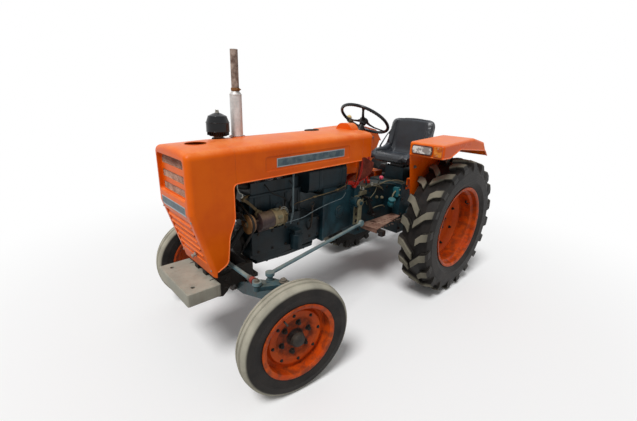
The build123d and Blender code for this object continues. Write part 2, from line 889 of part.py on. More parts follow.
def nose_form(inset):
    # The nose as a closed form, its outside moved in by the inset
    half = hood_half_width - inset
    corner = nose_corner - inset
    front = back(nose_front) + inset
    rear = back(hood_front) - seat_gap if inset == 0 else back(hood_front) + 5
    with BuildPart() as form:
        for y, top in ((rear, hood_top(hood_front)), (front, nose_front_top)):
            add(hood_outline(y, half, nose_kink_z, top - inset, hood_corner - inset, hood_crown))
        loft()
        front_face = form.faces().sort_by(Axis.Y)[0]
        fillet(front_face.edges().sort_by(Axis.Z)[1:], corner)
        # Lower part, from the kink down, where the front slopes back
        slope = nose_bottom_set_back / (nose_kink_z - nose_bottom)
        for z in (nose_kink_z, nose_bottom - 2 * inset):
            low_front = front + slope * (nose_kink_z - z)
            bow = corner * (1 - sqrt(0.5))
            with BuildSketch(Plane.XY.offset(z)):
                with BuildLine():
                    Line((half, rear), (half, low_front + corner))
                    ThreePointArc(
                        (half, low_front + corner), (half - bow, low_front + bow), (half - corner, low_front)
                    )
                    Line((half - corner, low_front), (corner - half, low_front))
                    ThreePointArc(
                        (corner - half, low_front), (bow - half, low_front + bow), (-half, low_front + corner)
                    )
                    Line((-half, low_front + corner), (-half, rear))
                    Line((-half, rear), (half, rear))
                make_face()
        loft()
    return form.part


nose_outer = nose_form(0)
nose_inner = nose_form(sheet)
# Grille openings in the recessed panel: (middle height, height, corner cut at the top)
grille_openings = ((1150, 44, 16), (1076, 38, 5), (1011, 38, 5))
window_half_width = grille_half_width + grille_margin
window_bottom = grille_openings[-1][0] - grille_openings[-1][1] / 2 - grille_margin
window_top = grille_openings[0][0] + grille_openings[0][1] / 2 + grille_margin
window_middle = (window_bottom + window_top) / 2
window_height = window_top - window_bottom
nose_face = Plane.XZ.offset(-back(nose_front))
slope_angle = atan2(nose_bottom_set_back, nose_kink_z - nose_bottom)
# On the sloping front, local y runs up the slope from its foot
slope_face = Plane(
    origin=(0, back(nose_front + nose_bottom_set_back), nose_bottom),
    x_dir=(1, 0, 0),
    z_dir=(0, -cos(slope_angle), -sin(slope_angle)),
)
louvre_middle = 207
louvre_length = 258
louvre_places = (300, 256, 212, 168, 124)
louvre_height = 15
with BuildPart() as nose_cowl:
    add(nose_outer)
    add(nose_inner, mode=Mode.SUBTRACT)
    # Grille panel, pressed in behind the front
    with BuildSketch(nose_face):
        with Locations((0, window_middle)):
            RectangleRounded(2 * (window_half_width + sheet), window_height + 2 * sheet, 20 + sheet)
    extrude(amount=-grille_depth - sheet)
    with BuildSketch(nose_face.offset(1)):
        with Locations((0, window_middle)):
            RectangleRounded(2 * window_half_width, window_height, 20)
    extrude(amount=-grille_depth - 1, mode=Mode.SUBTRACT)
    with BuildSketch(nose_face):
        for z, height, cut in grille_openings:
            with BuildLine():
                Polyline(
                    (-grille_half_width, z - height / 2),
                    (grille_half_width, z - height / 2),
                    (grille_half_width, z + height / 2 - cut),
                    (grille_half_width - cut, z + height / 2),
                    (cut - grille_half_width, z + height / 2),
                    (-grille_half_width, z + height / 2 - cut),
                    close=True,
                )
            make_face()
    extrude(amount=-grille_depth - sheet - 1, mode=Mode.SUBTRACT)
    # Louvre panel in the sloping front, with its raised bars and two slots
    with BuildSketch(slope_face):
        with Locations((0, louvre_middle)):
            RectangleRounded(2 * (louvre_half_width + sheet), louvre_length + 2 * sheet, 8 + sheet)
    extrude(amount=-louvre_depth - sheet)
    with BuildSketch(slope_face.offset(1)):
        with Locations((0, louvre_middle)):
            RectangleRounded(2 * louvre_half_width, louvre_length, 8)
    extrude(amount=-louvre_depth - 1, mode=Mode.SUBTRACT)
    with BuildSketch(slope_face.offset(-louvre_depth)):
        for place in louvre_places:
            with Locations((0, place)):
                Rectangle(2 * louvre_half_width - 8, louvre_height)
    extrude(amount=louvre_depth + 3, taper=35)
    with BuildSketch(slope_face):
        for place in louvre_places[1::2]:
            with Locations((0, place - louvre_height / 2 - 9)):
                Rectangle(2 * louvre_half_width - 20, 14)
    extrude(amount=-louvre_depth - sheet - 1, mode=Mode.SUBTRACT)
    add(side_opening.part, mode=Mode.SUBTRACT)
    # Opening over the radiator's cap
    with BuildSketch(Plane.XY.offset(nose_front_top - 60)):
        with Locations((0, back(-209))):
            Circle(55)
    extrude(amount=100, mode=Mode.SUBTRACT)
save(nose_cowl.part, "nose_cowl")

# Grille: a flat sheet of mesh against the back of the grille panel
with BuildPart() as grille_mesh:
    with BuildSketch(nose_face.offset(-grille_depth - sheet - seat_gap)):
        with Locations((0, window_middle)):
            Rectangle(2 * window_half_width, window_height)
    extrude(amount=-3)
save(grille_mesh.part, "grille_mesh")

lean = radians(column_lean)
column_dir = Vector(0, sin(lean), cos(lean))
wheel_hub = Vector(0, back(steer_wheel_back), steer_wheel_z)
column_plane = Plane(origin=wheel_hub, x_dir=(1, 0, 0), z_dir=column_dir)
column_radius = 24

# Dash panel that closes the hood's rear end, with a domed cover on top, carried by two braces
dash_rear = hood_rear + dash_length
dash_corner = 25
dash_edge = 1090
hump_half_width = 78
hump_top = 1302
hump_front = 876
brace_x = 104
brace_foot = bell_top + 5 + seat_gap


def dash_form(inset, overrun):
    # The dash as a closed form, its outside moved in by the inset and its front moved ahead by the overrun
    with BuildPart() as form:
        for distance in (hood_rear + seat_gap - overrun, dash_rear - inset):
            add(
                hood_outline(
                    back(distance),
                    hood_half_width - inset,
                    dash_edge - 2 * inset,
                    hood_top(distance) - inset,
                    hood_corner - inset,
                    hood_crown,
                )
            )
        loft()
        rear_face = form.faces().sort_by(Axis.Y)[-1]
        fillet(rear_face.edges().sort_by(Axis.Z)[1:], dash_corner - inset)
    return form.part


with BuildPart() as dash_hump:
    for inset, mode in ((0, Mode.ADD), (sheet, Mode.SUBTRACT)):
        half = hump_half_width - inset
        top = hump_top - inset
        low = hood_rear_top - 30
        with BuildSketch(Plane.XZ.offset(-back(hump_front + inset))):
            with BuildLine():
                Line((-half, low), (half, low))
                Line((half, low), (half, low + 20))
                ThreePointArc((half, low + 20), (0.7 * half, top - 12), (0, top))
                ThreePointArc((0, top), (-0.7 * half, top - 12), (-half, low + 20))
                Line((-half, low + 20), (-half, low))
            make_face()
        extrude(amount=hump_front - dash_rear + dash_corner + 2 * inset, mode=mode)
dash_outer = dash_form(0, 0)
dash_inner = dash_form(sheet, 1)
with BuildPart() as dash_panel:
    add(dash_outer)
    add(dash_inner, mode=Mode.SUBTRACT)
    add(dash_hump.part)
    with BuildSketch(Plane.YZ.offset(brace_x), Plane.YZ.offset(-brace_x - 6)):
        with BuildLine():
            Polyline(
                (back(bell_rear + 30), brace_foot),
                (back(bell_rear + 30), brace_foot + 20),
                (back(dash_rear - 40), dash_edge - 20),
                (back(dash_rear - 20), dash_edge + 30),
                (back(dash_rear - 1), dash_edge + 30),
                (back(dash_rear - 1), dash_edge - 30),
                (back(bell_rear + 54), brace_foot),
                close=True,
            )
        make_face()
    extrude(amount=6)
    with BuildSketch(column_plane):
        Circle(column_radius + 8)
    extrude(amount=-400, mode=Mode.SUBTRACT)
save(dash_panel.part, "dash_panel")

# Fan, its hub and the belt round the crank, fan and generator pulleys
fan_radius = 160
fan_blades = 5
fan_back = -41
blade_pitch = 28
pulley_back = -2
pulley_width = 24
fan_pulley_radius = 58
crank_pulley_radius = 70
generator_x = 136
generator_z = 790
generator_pulley_radius = 50
belt_thickness = 8
belt_width = 13
with BuildPart() as belt:
    for grow, mode in ((belt_thickness, Mode.ADD), (0, Mode.SUBTRACT)):
        with BuildSketch(Plane.XZ.offset(-back(pulley_back) - belt_width / 2)):
            with Locations((0, fan_z)):
                Circle(fan_pulley_radius - 1 + grow)
            with Locations((0, crank_z)):
                Circle(crank_pulley_radius - 1 + grow)
            with Locations((generator_x, generator_z)):
                Circle(generator_pulley_radius + seat_gap + grow)
            make_hull()
        extrude(amount=belt_width, mode=mode)
with BuildPart() as fan_and_belt:
    with BuildSketch(Plane.XZ.offset(-back(engine_front) + seat_gap)):
        with Locations((0, fan_z)):
            Circle(18)
        with Locations((0, crank_z)):
            Circle(22)
    extrude(amount=engine_front - pulley_back)
    with BuildSketch(Plane.XZ.offset(-back(pulley_back) - pulley_width / 2)):
        with Locations((0, fan_z)):
            Circle(fan_pulley_radius)
        with Locations((0, crank_z)):
            Circle(crank_pulley_radius)
    extrude(amount=pulley_width)
    add(belt.part)
    with BuildSketch(Plane.XZ.offset(-back(pulley_back))):
        with Locations((0, fan_z)):
            Circle(18)
    extrude(amount=50)
    with BuildSketch(Plane.XZ.offset(-back(fan_back) - 6)):
        with Locations((0, fan_z)):
            Circle(40)
    extrude(amount=12)
    for blade in range(fan_blades):
        turn = Location((0, back(fan_back), fan_z), (0, 360 * blade / fan_blades, 0))
        with Locations(turn * Pos(fan_radius / 2 + 14, 0, 0) * Rot(blade_pitch, 0, 0)):
            Box(fan_radius - 28, 4, 58)
save(fan_and_belt.part, "fan_and_belt")

generator_radius = 52
generator_front = 59
generator_length = 150
with BuildPart() as generator:
    with BuildSketch(Plane.XZ.offset(-back(generator_front))):
        with Locations((generator_x, generator_z)):
            Circle(generator_radius - 3)
    extrude(amount=-generator_length)
    # End frames, the band over the brushes and the end cap
    for place, radius, length in (
        (generator_front, generator_radius, 12),
        (generator_front + 91, generator_radius, 26),
        (generator_front + generator_length, 30, 12),
    ):
        with BuildSketch(Plane.XZ.offset(-back(place))):
            with Locations((generator_x, generator_z)):
                Circle(radius)
        extrude(amount=-length)
    # Pulley with its groove, and the cooling fan behind it
    for place, radius, length in (
        (pulley_back - pulley_width / 2, generator_pulley_radius + 6, 5),
        (pulley_back - pulley_width / 2, generator_pulley_radius, pulley_width),
        (pulley_back + pulley_width / 2 - 5, generator_pulley_radius + 6, 5),
        (pulley_back + pulley_width / 2 + 4, generator_radius - 4, 8),
    ):
        with BuildSketch(Plane.XZ.offset(-back(place))):
            with Locations((generator_x, generator_z)):
                Circle(radius)
        extrude(amount=-length)
    with BuildSketch(Plane.XZ.offset(-back(pulley_back) + pulley_width / 2 + 12)):
        with Locations((generator_x, generator_z)):
            Circle(12)
    extrude(amount=pulley_back - pulley_width / 2 - 12 - generator_front - 3)
    with BuildSketch(Plane.XY.offset(crank_top + seat_gap)):
        with Locations((engine_half_width - 12, back(128))):
            Rectangle(22, 110)
    extrude(amount=generator_z - crank_top - 20)
save(generator.part, "generator")

# Fuel tank over the clutch housing
tank_front = 432
tank_rear = 770
tank_half_width = 150
tank_bottom = 890
tank_top = 1058
strap_places = (518, 724)
with BuildPart() as fuel_tank:
    with BuildSketch(Plane.XZ.offset(-back(tank_front))):
        with Locations((0, (tank_bottom + tank_top) / 2)):
            RectangleRounded(2 * tank_half_width, tank_top - tank_bottom, 45)
    extrude(amount=tank_front - tank_rear)
    for place in strap_places:
        with BuildSketch(Plane.XZ.offset(-back(place))):
            with Locations((0, (tank_bottom + tank_top) / 2)):
                RectangleRounded(2 * tank_half_width + 6, tank_top - tank_bottom + 6, 48)
        extrude(amount=-24)
    with BuildSketch(Plane.XY.offset(tank_top - 4)):
        with Locations((-100, back(480))):
            Circle(36)
    extrude(amount=34)
save(fuel_tank.part, "fuel_tank")

# Clutch housing behind the engine, with the steering box's boss on its left
steer_box_height = 22
bell_front_bottom = 545
bell_front_top = 850
hand_hole_back = 742
hand_hole_z = 708
with BuildPart() as clutch_housing:
    with BuildSketch(Plane.XZ.offset(-back(bell_front))):
        with Locations((0, (bell_front_bottom + bell_front_top) / 2)):
            Rectangle(2 * bell_half_width, bell_front_top - bell_front_bottom)
    with BuildSketch(Plane.XZ.offset(-back(bell_rear))):
        with Locations((0, (bell_bottom + bell_top) / 2)):
            Rectangle(2 * gearbox_half_width, bell_top - bell_bottom)
    loft()
    with BuildSketch(Plane.XZ.offset(-back(bell_rear))):
        with Locations((0, (bell_bottom + bell_top) / 2)):
            Rectangle(2 * gearbox_half_width + 50, bell_top - bell_bottom + 10)
    extrude(amount=-58 + seat_gap)
    # Raised rim round the joint with the engine, and a hand hole's cover on the left
    with BuildSketch(Plane.XZ.offset(-back(bell_front))):
        with Locations((0, (bell_front_bottom + bell_front_top) / 2)):
            Rectangle(2 * bell_half_width + 16, bell_front_top - bell_front_bottom + 16)
    extrude(amount=-18)
    for radius, length in ((42, 22), (26, 28)):
        with BuildSketch(Plane.YZ.offset(bell_half_width - 30)):
            with Locations((back(hand_hole_back), hand_hole_z)):
                Circle(radius)
        extrude(amount=length)
    with BuildSketch(Plane.XY.offset(bell_top - 30)):
        with Locations((90, back(660)), (-90, back(660))):
            Rectangle(40, 120)
    extrude(amount=tank_bottom - seat_gap - bell_top + 30)
    with BuildSketch(Plane.XY.offset(bell_top - 30)):
        with Locations((0, back(800))):
            Rectangle(120, 110)
    extrude(amount=30 + steer_box_height)
    with BuildSketch(Plane.YZ.offset(100)):
        with Locations((back(pitman_back), pitman_z)):
            Circle(38)
    extrude(amount=pitman_face - pitman_plate - 6 - 100)
    with BuildSketch(Plane.YZ.offset(100)):
        with Locations((back(pitman_back), pitman_z)):
            Circle(cross_shaft_radius)
    extrude(amount=pitman_face + 6 - 100)
save(clutch_housing.part, "clutch_housing")

# Gearbox, rear axle case, trumpets, lift cover and power take-off shaft
gearbox_front = bell_rear + 58
trumpet_end = hub_face_x - 32
rockshaft_radius = 22
cover_half_width = 95
cover_top = 925
pin_radius = 12
with BuildPart() as transmission_case:
    with BuildSketch(Plane.YZ):
        with BuildLine():
            Polyline(
                (back(gearbox_front), gearbox_bottom),
                (back(rear_case_front), gearbox_bottom),
                (back(rear_case_front), gearbox_top - 30),
                (back(rear_case_front - 170), gearbox_top),
                (back(gearbox_front), gearbox_top),
                close=True,
            )
        make_face()
    extrude(amount=gearbox_half_width, both=True)
    with BuildSketch(Plane.YZ):
        with Locations((back(rear_case_front), rear_case_bottom)):
            Rectangle(
                rear_case_rear - rear_case_front,
                rear_case_top - rear_case_bottom,
                align=(Align.MIN, Align.MIN),
            )
    extrude(amount=rear_case_half_width, both=True)
    with BuildSketch(Plane.YZ):
        with Locations((back(rear_case_rear - 90), rear_case_top)):
            Rectangle(220, 2 * (cover_top - rear_case_top))
    extrude(amount=cover_half_width, both=True)
    with BuildSketch(Plane.YZ):
        with Locations((axle_y, rear_tyre_radius)):
            Circle(trumpet_radius)
    extrude(amount=trumpet_end, both=True)
    with BuildSketch(Plane.YZ):
        with Locations((back(link_pivot_back), link_pivot_z)):
            Circle(pin_radius)
    extrude(amount=link_pivot_x + 22, both=True)
    with BuildSketch(Plane.YZ):
        with Locations((back(link_pivot_back), link_pivot_z)):
            Circle(26)
    extrude(amount=link_pivot_x - 12 - 6, both=True)
    with BuildSketch(Plane.YZ.offset(trumpet_end - 34), Plane.YZ.offset(-trumpet_end)):
        with Locations((axle_y, rear_tyre_radius)):
            Circle(axle_shaft_radius + running_gap)
    extrude(amount=34, mode=Mode.SUBTRACT)
    with BuildSketch(Plane.YZ):
        with Locations((back(link_pivot_back), lift_pivot_z)):
            Circle(rockshaft_radius + running_gap)
    extrude(amount=cover_half_width + 5, both=True, mode=Mode.SUBTRACT)
    with BuildSketch(Plane.XZ.offset(-back(rear_case_rear))):
        with Locations((0, 560)):
            Circle(17.4)
    extrude(amount=-76)
save(transmission_case.part, "transmission_case")

# Steering column and wheel
column_length = 560
with BuildPart() as steering_column:
    with BuildSketch(column_plane.offset(-column_length)):
        Circle(column_radius)
    extrude(amount=column_length - 52)
    split(bisect_by=Plane.XY.offset(bell_top + steer_box_height + seat_gap), keep=Keep.TOP)
    with BuildSketch(column_plane.offset(-60)):
        Circle(11)
    extrude(amount=52)
save(steering_column.part, "steering_column")

with BuildPart() as steering_wheel:
    with BuildSketch(column_plane):
        Circle(26)
        for spoke in range(3):
            with Locations(Rot(0, 0, 90 + 120 * spoke) * Pos(steer_wheel_radius / 2 - 4, 0, 0)):
                Rectangle(steer_wheel_radius - 8, 14)
    extrude(amount=8)
    with BuildSketch(column_plane.offset(-40)):
        Circle(24)
    extrude(amount=44)
    with BuildSketch(column_plane.offset(-40)):
        Circle(11 + running_gap)
    extrude(amount=33, mode=Mode.SUBTRACT)
    rim_plane = Plane(origin=wheel_hub + column_dir * 4, x_dir=(1, 0, 0), z_dir=(0, cos(lean), -sin(lean)))
    with BuildSketch(rim_plane):
        with Locations((steer_wheel_radius - steer_rim_radius, 0)):
            Circle(steer_rim_radius)
    revolve(axis=Axis(wheel_hub, column_dir))
save(steering_wheel.part, "steering_wheel")

# Seat bucket on its bracket: the middle of the pan and back, then the raised bolsters, in a rounded outline
bolster_width = 60
seat_corner = 50
with BuildPart() as seat:
    with BuildSketch(Plane.YZ):
        with BuildLine():
            Polyline(
                (back(seat_front), seat_low + 25),
                (back(seat_front), seat_low + 68),
                (back(seat_front + 50), seat_low + 86),
                (back(seat_rear - 105), seat_low + 60),
                (back(seat_rear - 75), seat_low + 110),
                (back(seat_rear - 42), seat_top - 14),
                (back(seat_rear - 10), seat_top - 14),
                (back(seat_rear - 10), seat_low + 110),
                (back(seat_rear - 40), seat_low + 35),
                (back(seat_rear - 110), seat_low),
                close=True,
            )
        make_face()
    extrude(amount=seat_half_width - 10, both=True)
    for side in (1, -1):
        with BuildSketch(Plane.YZ.offset(side * seat_half_width)):
            with BuildLine():
                Polyline(
                    (back(seat_front + 12), seat_low + 32),
                    (back(seat_front + 6), seat_low + 80),
                    (back(seat_front + 60), seat_low + 110),
                    (back(seat_rear - 165), seat_low + 116),
                    (back(seat_rear - 118), seat_low + 146),
                    (back(seat_rear - 74), seat_top - 60),
                    (back(seat_rear - 54), seat_top),
                    (back(seat_rear - 6), seat_top),
                    (back(seat_rear - 6), seat_low + 110),
                    (back(seat_rear - 40), seat_low + 35),
                    (back(seat_rear - 110), seat_low + 12),
                    close=True,
                )
            make_face()
        extrude(amount=-side * bolster_width)
    with BuildSketch(Plane.YZ):
        with Locations((back(seat_rear - 30), seat_top - 22)):
            Rectangle(48, 44)
    extrude(amount=seat_half_width, both=True)
    with BuildSketch(Plane.XZ.offset(-back(seat_front - 5))):
        with Locations((0, (seat_low + seat_top) / 2 - 20)):
            RectangleRounded(2 * seat_half_width, seat_top - seat_low + 40, seat_corner)
    extrude(amount=seat_front - seat_rear - 10, mode=Mode.INTERSECT)
save(seat.part, "seat")

with BuildPart() as seat_bracket:
    with BuildSketch(Plane.XY.offset(cover_top + seat_gap)):
        with Locations((0, back(wheelbase + 45))):
            Rectangle(120, 160)
    extrude(amount=seat_low - cover_top - 2 * seat_gap)
save(seat_bracket.part, "seat_bracket")

# Fenders: an inner wall down to the axle case, and a sheet rounded into a skirt and a lamp box in front
fender_wall = 3
fender_round = 18
fender_floor = 1000
fender_crest_back = fender_front + 437
wall_foot = 803
skirt_low = 1112


def fender_form(side, inset):
    # The closed form over the wheel, its outside moved in by the inset
    with BuildPart() as form:
        with BuildSketch(Plane.YZ.offset(side * (fender_inner + inset))):
            with BuildLine():
                Polyline(
                    (back(fender_front) + inset, fender_floor - 2 * inset),
                    (back(fender_front) + inset, fender_top - inset),
                    (back(fender_crest_back), fender_crest - inset),
                    (back(fender_rear - 90) - inset / 2, fender_crest - 36 - inset),
                    (back(fender_rear) - 1.5 * inset, fender_crest - 141 - inset / 2),
                    (back(fender_rear - 60) - 1.5 * inset, fender_floor - 2 * inset),
                    close=True,
                )
            make_face()
        extrude(amount=side * (fender_outer - fender_inner - 2 * inset))
        outer_face = form.faces().sort_by(Axis.X)[-1 if side == 1 else 0]
        front_face = form.faces().sort_by(Axis.Y)[0]
        round_edges = outer_face.edges().sort_by(Axis.Z)[1:] + front_face.edges().sort_by(Axis.Z)[-1:]
        fillet(round_edges, fender_round - inset)
    return form.part


for side in (1, -1):
    fender_outside = fender_form(side, 0)
    fender_inside = fender_form(side, fender_wall)
    with BuildPart() as fender:
        add(fender_outside)
        add(fender_inside, mode=Mode.SUBTRACT)
        # Trim under the skirt and in front of the inner wall
        with BuildSketch(Plane.YZ.offset(side * (fender_inner - 1))):
            with BuildLine():
                Polyline(
                    (back(fender_front) - 5, skirt_low),
                    (back(fender_front + 100), skirt_low),
                    (back(fender_front + 232), skirt_low + 48),
                    (back(fender_rear - 50), skirt_low + 8),
                    (back(fender_rear) - 4, fender_crest - 144),
                    (back(fender_rear) + 10, fender_crest - 144),
                    (back(fender_rear) + 10, fender_floor - 10),
                    (back(fender_front) - 5, fender_floor - 10),
                    close=True,
                )
            make_face()
        extrude(amount=side * (fender_outer - fender_inner + 2), mode=Mode.SUBTRACT)
        with BuildSketch(Plane.YZ.offset(side * fender_inner)):
            with BuildLine():
                Polyline(
                    (back(fender_front + 2), skirt_low + 4),
                    (back(fender_front + 68), wall_foot),
                    (axle_y + 20, wall_foot),
                    (axle_y + 120, wall_foot + 97),
                    (back(fender_rear - 62), fender_floor + 10),
                    (back(fender_rear - 20), fender_crest - 130),
                    (back(fender_rear - 100), fender_crest - 60),
                    (back(fender_crest_back), fender_crest - 20),
                    (back(fender_front + 2), fender_top - 20),
                    close=True,
                )
            make_face()
        extrude(amount=side * fender_wall)
        with BuildSketch(Plane.YZ.offset(side * (rear_case_half_width + seat_gap))):
            with Locations((axle_y - 50, rear_case_top + 41)):
                Rectangle(100, 6)
        extrude(amount=side * (fender_inner - rear_case_half_width))
        with BuildSketch(Plane.YZ.offset(side * (rear_case_half_width + seat_gap))):
            with Locations((axle_y - 50, rear_case_top - 4)):
                Rectangle(100, 96)
        extrude(amount=side * 5)
    save(fender.part, f"fender_{side_name[side]}")

# Lamps on the front of each box: (width, height, corner, depth) of the frame and the lens
lamp_z = 1158
lamp_face = Plane.XZ.offset(-back(fender_front) + seat_gap)
with BuildPart() as headlamps:
    for side in (1, -1):
        for width, height, corner, depth in ((151, 62, 16, 9), (135, 46, 10, 13)):
            with BuildSketch(lamp_face):
                with Locations((side * (fender_inner + 96), lamp_z)):
                    RectangleRounded(width, height, corner)
            extrude(amount=depth)
save(headlamps.part, "headlamps")

with BuildPart() as marker_lamps:
    for side in (1, -1):
        for width, height, corner, depth in ((62, 72, 8, 5), (54, 64, 6, 11)):
            with BuildSketch(lamp_face):
                with Locations((side * (fender_outer - 38), lamp_z)):
                    RectangleRounded(width, height, corner)
            extrude(amount=depth)
save(marker_lamps.part, "marker_lamps")

# Exhaust stack through the hood, and the pre-cleaner beside it
stack_bottom = 1024
with BuildPart() as exhaust_stack:
    with BuildSketch(Plane.XZ.offset(-back(stack_back))):
        with BuildLine():
            Polyline(
                (stack_x, stack_bottom),
                (stack_x + 24, stack_bottom),
                (stack_x + 24, 1215),
                (stack_x + stack_radius, 1225),
                (stack_x + stack_radius, stack_shoulder_z),
                (stack_x + stack_pipe_radius, stack_shoulder_z + 17),
                (stack_x + stack_pipe_radius, stack_top),
                (stack_x + stack_pipe_radius - 3, stack_top),
                (stack_x + stack_pipe_radius - 3, 1300),
                (stack_x, 1300),
                close=True,
            )
        make_face()
    revolve(axis=Axis((stack_x, back(stack_back), 0), (0, 0, 1)))
    with BuildSketch(Plane.XZ.offset(-back(stack_back) + 25)):
        with Locations((stack_x + 25, (head_top + seat_gap + stack_bottom + 8) / 2)):
            Rectangle(100, stack_bottom + 8 - head_top - seat_gap)
    extrude(amount=-50)
save(exhaust_stack.part, "exhaust_stack")

intake_x = -55
intake_z = 972
intake_radius = 18
with BuildPart() as air_cleaner:
    with BuildSketch(Plane.XZ.offset(-back(cleaner_back))):
        with BuildLine():
            Polyline(
                (stack_x, 1020),
                (stack_x + 55, 1020),
                (stack_x + 55, 1165),
                (stack_x + 24, 1175),
                (stack_x + 24, 1245),
                (stack_x + 48, 1250),
                (stack_x + 56, 1272),
                (stack_x + cleaner_radius, 1275),
                (stack_x + cleaner_radius, 1322),
                (stack_x + 50, 1358),
                (stack_x + 20, 1372),
                (stack_x, 1374),
                close=True,
            )
        make_face()
    revolve(axis=Axis((stack_x, back(cleaner_back), 0), (0, 0, 1)))
    with BuildSketch(Plane.XY.offset(1370)):
        with Locations((stack_x, back(cleaner_back))):
            Circle(6)
    extrude(amount=cleaner_top - 1370)
    with BuildSketch(Plane.XY.offset(intake_z)):
        with Locations((intake_x, back(5))):
            Circle(intake_radius)
    extrude(amount=1024 - intake_z)
    with BuildSketch(Plane.XZ.offset(-back(5))):
        with Locations((intake_x, intake_z)):
            Circle(intake_radius)
    extrude(amount=5 - engine_front - 30 + seat_gap)
save(air_cleaner.part, "air_cleaner")

# Foot plates beside the gearbox, narrower towards the rear, each on a rib across its front
plate_front = gearbox_front + 54
plate_rear = rear_case_front - 10
plate_thickness = 6
with BuildPart() as foot_plates:
    for side in (1, -1):
        inner = side * (gearbox_half_width + seat_gap)
        with BuildSketch(Plane.XY.offset(step_z - plate_thickness)):
            with BuildLine():
                Polyline(
                    (inner, back(plate_front)),
                    (side * 268, back(plate_front + 17)),
                    (side * 190, back(plate_rear)),
                    (inner, back(plate_rear)),
                    close=True,
                )
            make_face()
        extrude(amount=plate_thickness)
        with BuildSketch(Plane.YZ.offset(inner)):
            with Locations((back(plate_front + 20), step_z - 20)):
                Rectangle(6, 34)
        extrude(amount=side * 155)
save(foot_plates.part, "foot_plates")

# Pedals on short shafts out of the gearbox
pedal_back = gearbox_front + 144
pedal_z = 620
with BuildPart() as pedals:
    for side in (1, -1):
        with BuildSketch(Plane.YZ.offset(side * (gearbox_half_width + seat_gap))):
            with Locations((back(pedal_back), pedal_z)):
                Circle(12)
        extrude(amount=side * 75)
        with BuildSketch(Plane.YZ.offset(side * (gearbox_half_width + 45))):
            with BuildLine():
                Polyline(
                    (back(pedal_back - 14), pedal_z - 8),
                    (back(pedal_back - 80), pedal_z + 122),
                    (back(pedal_back - 86), pedal_z + 140),
                    (back(pedal_back - 68), pedal_z + 144),
                    (back(pedal_back - 60), pedal_z + 128),
                    (back(pedal_back + 14), pedal_z + 8),
                    close=True,
                )
            make_face()
        extrude(amount=side * 14)
        with BuildSketch(Plane.YZ.offset(side * (gearbox_half_width + 22))):
            with Locations((back(pedal_back - 78), pedal_z + 145)):
                Rectangle(60, 10, rotation=-35)
        extrude(amount=side * 60)
save(pedals.part, "pedals")

# Gear lever on the gearbox, with its knob
lever_back = gearbox_front + 234
lever_length = 260
with BuildPart() as levers:
    for radius, low, length in ((26, seat_gap, 20), (7, 10, lever_length)):
        with BuildSketch(Plane.XY.offset(gearbox_top + low)):
            with Locations((0, back(lever_back))):
                Circle(radius)
        extrude(amount=length)
    with Locations((0, back(lever_back), gearbox_top + lever_length + 25)):
        Sphere(22)
save(levers.part, "levers")

# Lift linkage: rockshaft with its arms, rods and the lower links, all drooping a little
droop = radians(link_droop)
arm_end_y = back(link_pivot_back) + lift_arm_length * cos(droop)
arm_end_drop = lift_arm_length * sin(droop)
rod_x = link_pivot_x + (link_ball_x - link_pivot_x) * lift_arm_length / link_length + 22
bar_x = rod_x - 22
with BuildPart() as lift_arms:
    with BuildSketch(Plane.YZ):
        with Locations((back(link_pivot_back), lift_pivot_z)):
            Circle(rockshaft_radius)
    extrude(amount=lift_arm_x + 16, both=True)
    for side in (1, -1):
        with BuildSketch(Plane.YZ.offset(side * (cover_half_width + 8))):
            with Locations((back(link_pivot_back), lift_pivot_z)):
                Circle(40)
        extrude(amount=side * (lift_arm_x + 14 - cover_half_width - 8))
        start = Vector(side * lift_arm_x, back(link_pivot_back), lift_pivot_z)
        stop = Vector(side * bar_x, arm_end_y, lift_pivot_z - arm_end_drop)
        with BuildSketch(Plane(origin=start, x_dir=(0, 0, 1), z_dir=stop - start)):
            Rectangle(44, 16)
        extrude(amount=(stop - start).length)
        with BuildSketch(Plane.YZ.offset(side * (bar_x - 8))):
            with Locations((arm_end_y, lift_pivot_z - arm_end_drop)):
                Circle(24)
        extrude(amount=side * 16)
        with BuildSketch(Plane.YZ.offset(side * bar_x)):
            with Locations((arm_end_y, lift_pivot_z - arm_end_drop)):
                Circle(pin_radius)
        extrude(amount=side * 36)
save(lift_arms.part, "lift_arms")

with BuildPart() as lift_rods:
    for side in (1, -1):
        with BuildSketch(Plane.XY.offset(link_pivot_z - arm_end_drop + 18)):
            with Locations((side * rod_x, arm_end_y)):
                Circle(11)
        extrude(amount=lift_pivot_z - link_pivot_z - 36)
        with BuildSketch(Plane.YZ.offset(side * (rod_x - 8))):
            for z in (lift_pivot_z, link_pivot_z):
                with Locations((arm_end_y, z - arm_end_drop)):
                    Circle(23)
                    Circle(pin_radius + running_gap, mode=Mode.SUBTRACT)
        extrude(amount=side * 16)
save(lift_rods.part, "lift_rods")

ball_y = back(link_pivot_back) + link_length * cos(droop)
ball_z = link_pivot_z - link_length * sin(droop)
with BuildPart() as lower_links:
    for side in (1, -1):
        start = Vector(side * link_pivot_x, back(link_pivot_back), link_pivot_z)
        stop = Vector(side * link_ball_x, ball_y, ball_z)
        along = (stop - start).normalized()
        with BuildSketch(Plane(origin=start + along * 20, x_dir=(0, 0, 1), z_dir=along)):
            Rectangle(46, 14)
        extrude(amount=(stop - start).length - 40)
        with BuildSketch(Plane.YZ.offset(side * (link_pivot_x - 12))):
            with Locations((start.Y, start.Z)):
                Circle(28)
                Circle(pin_radius + running_gap, mode=Mode.SUBTRACT)
        extrude(amount=side * 24)
        with BuildSketch(Plane.YZ.offset(side * (link_ball_x - hitch_ball_width / 2))):
            with Locations((stop.Y, stop.Z)):
                Circle(hitch_ball_radius)
                Circle(hitch_bore_radius, mode=Mode.SUBTRACT)
        extrude(amount=side * hitch_ball_width)
        with BuildSketch(Plane.YZ.offset(side * bar_x)):
            with Locations((arm_end_y, link_pivot_z - arm_end_drop)):
                Circle(pin_radius)
        extrude(amount=side * 36)
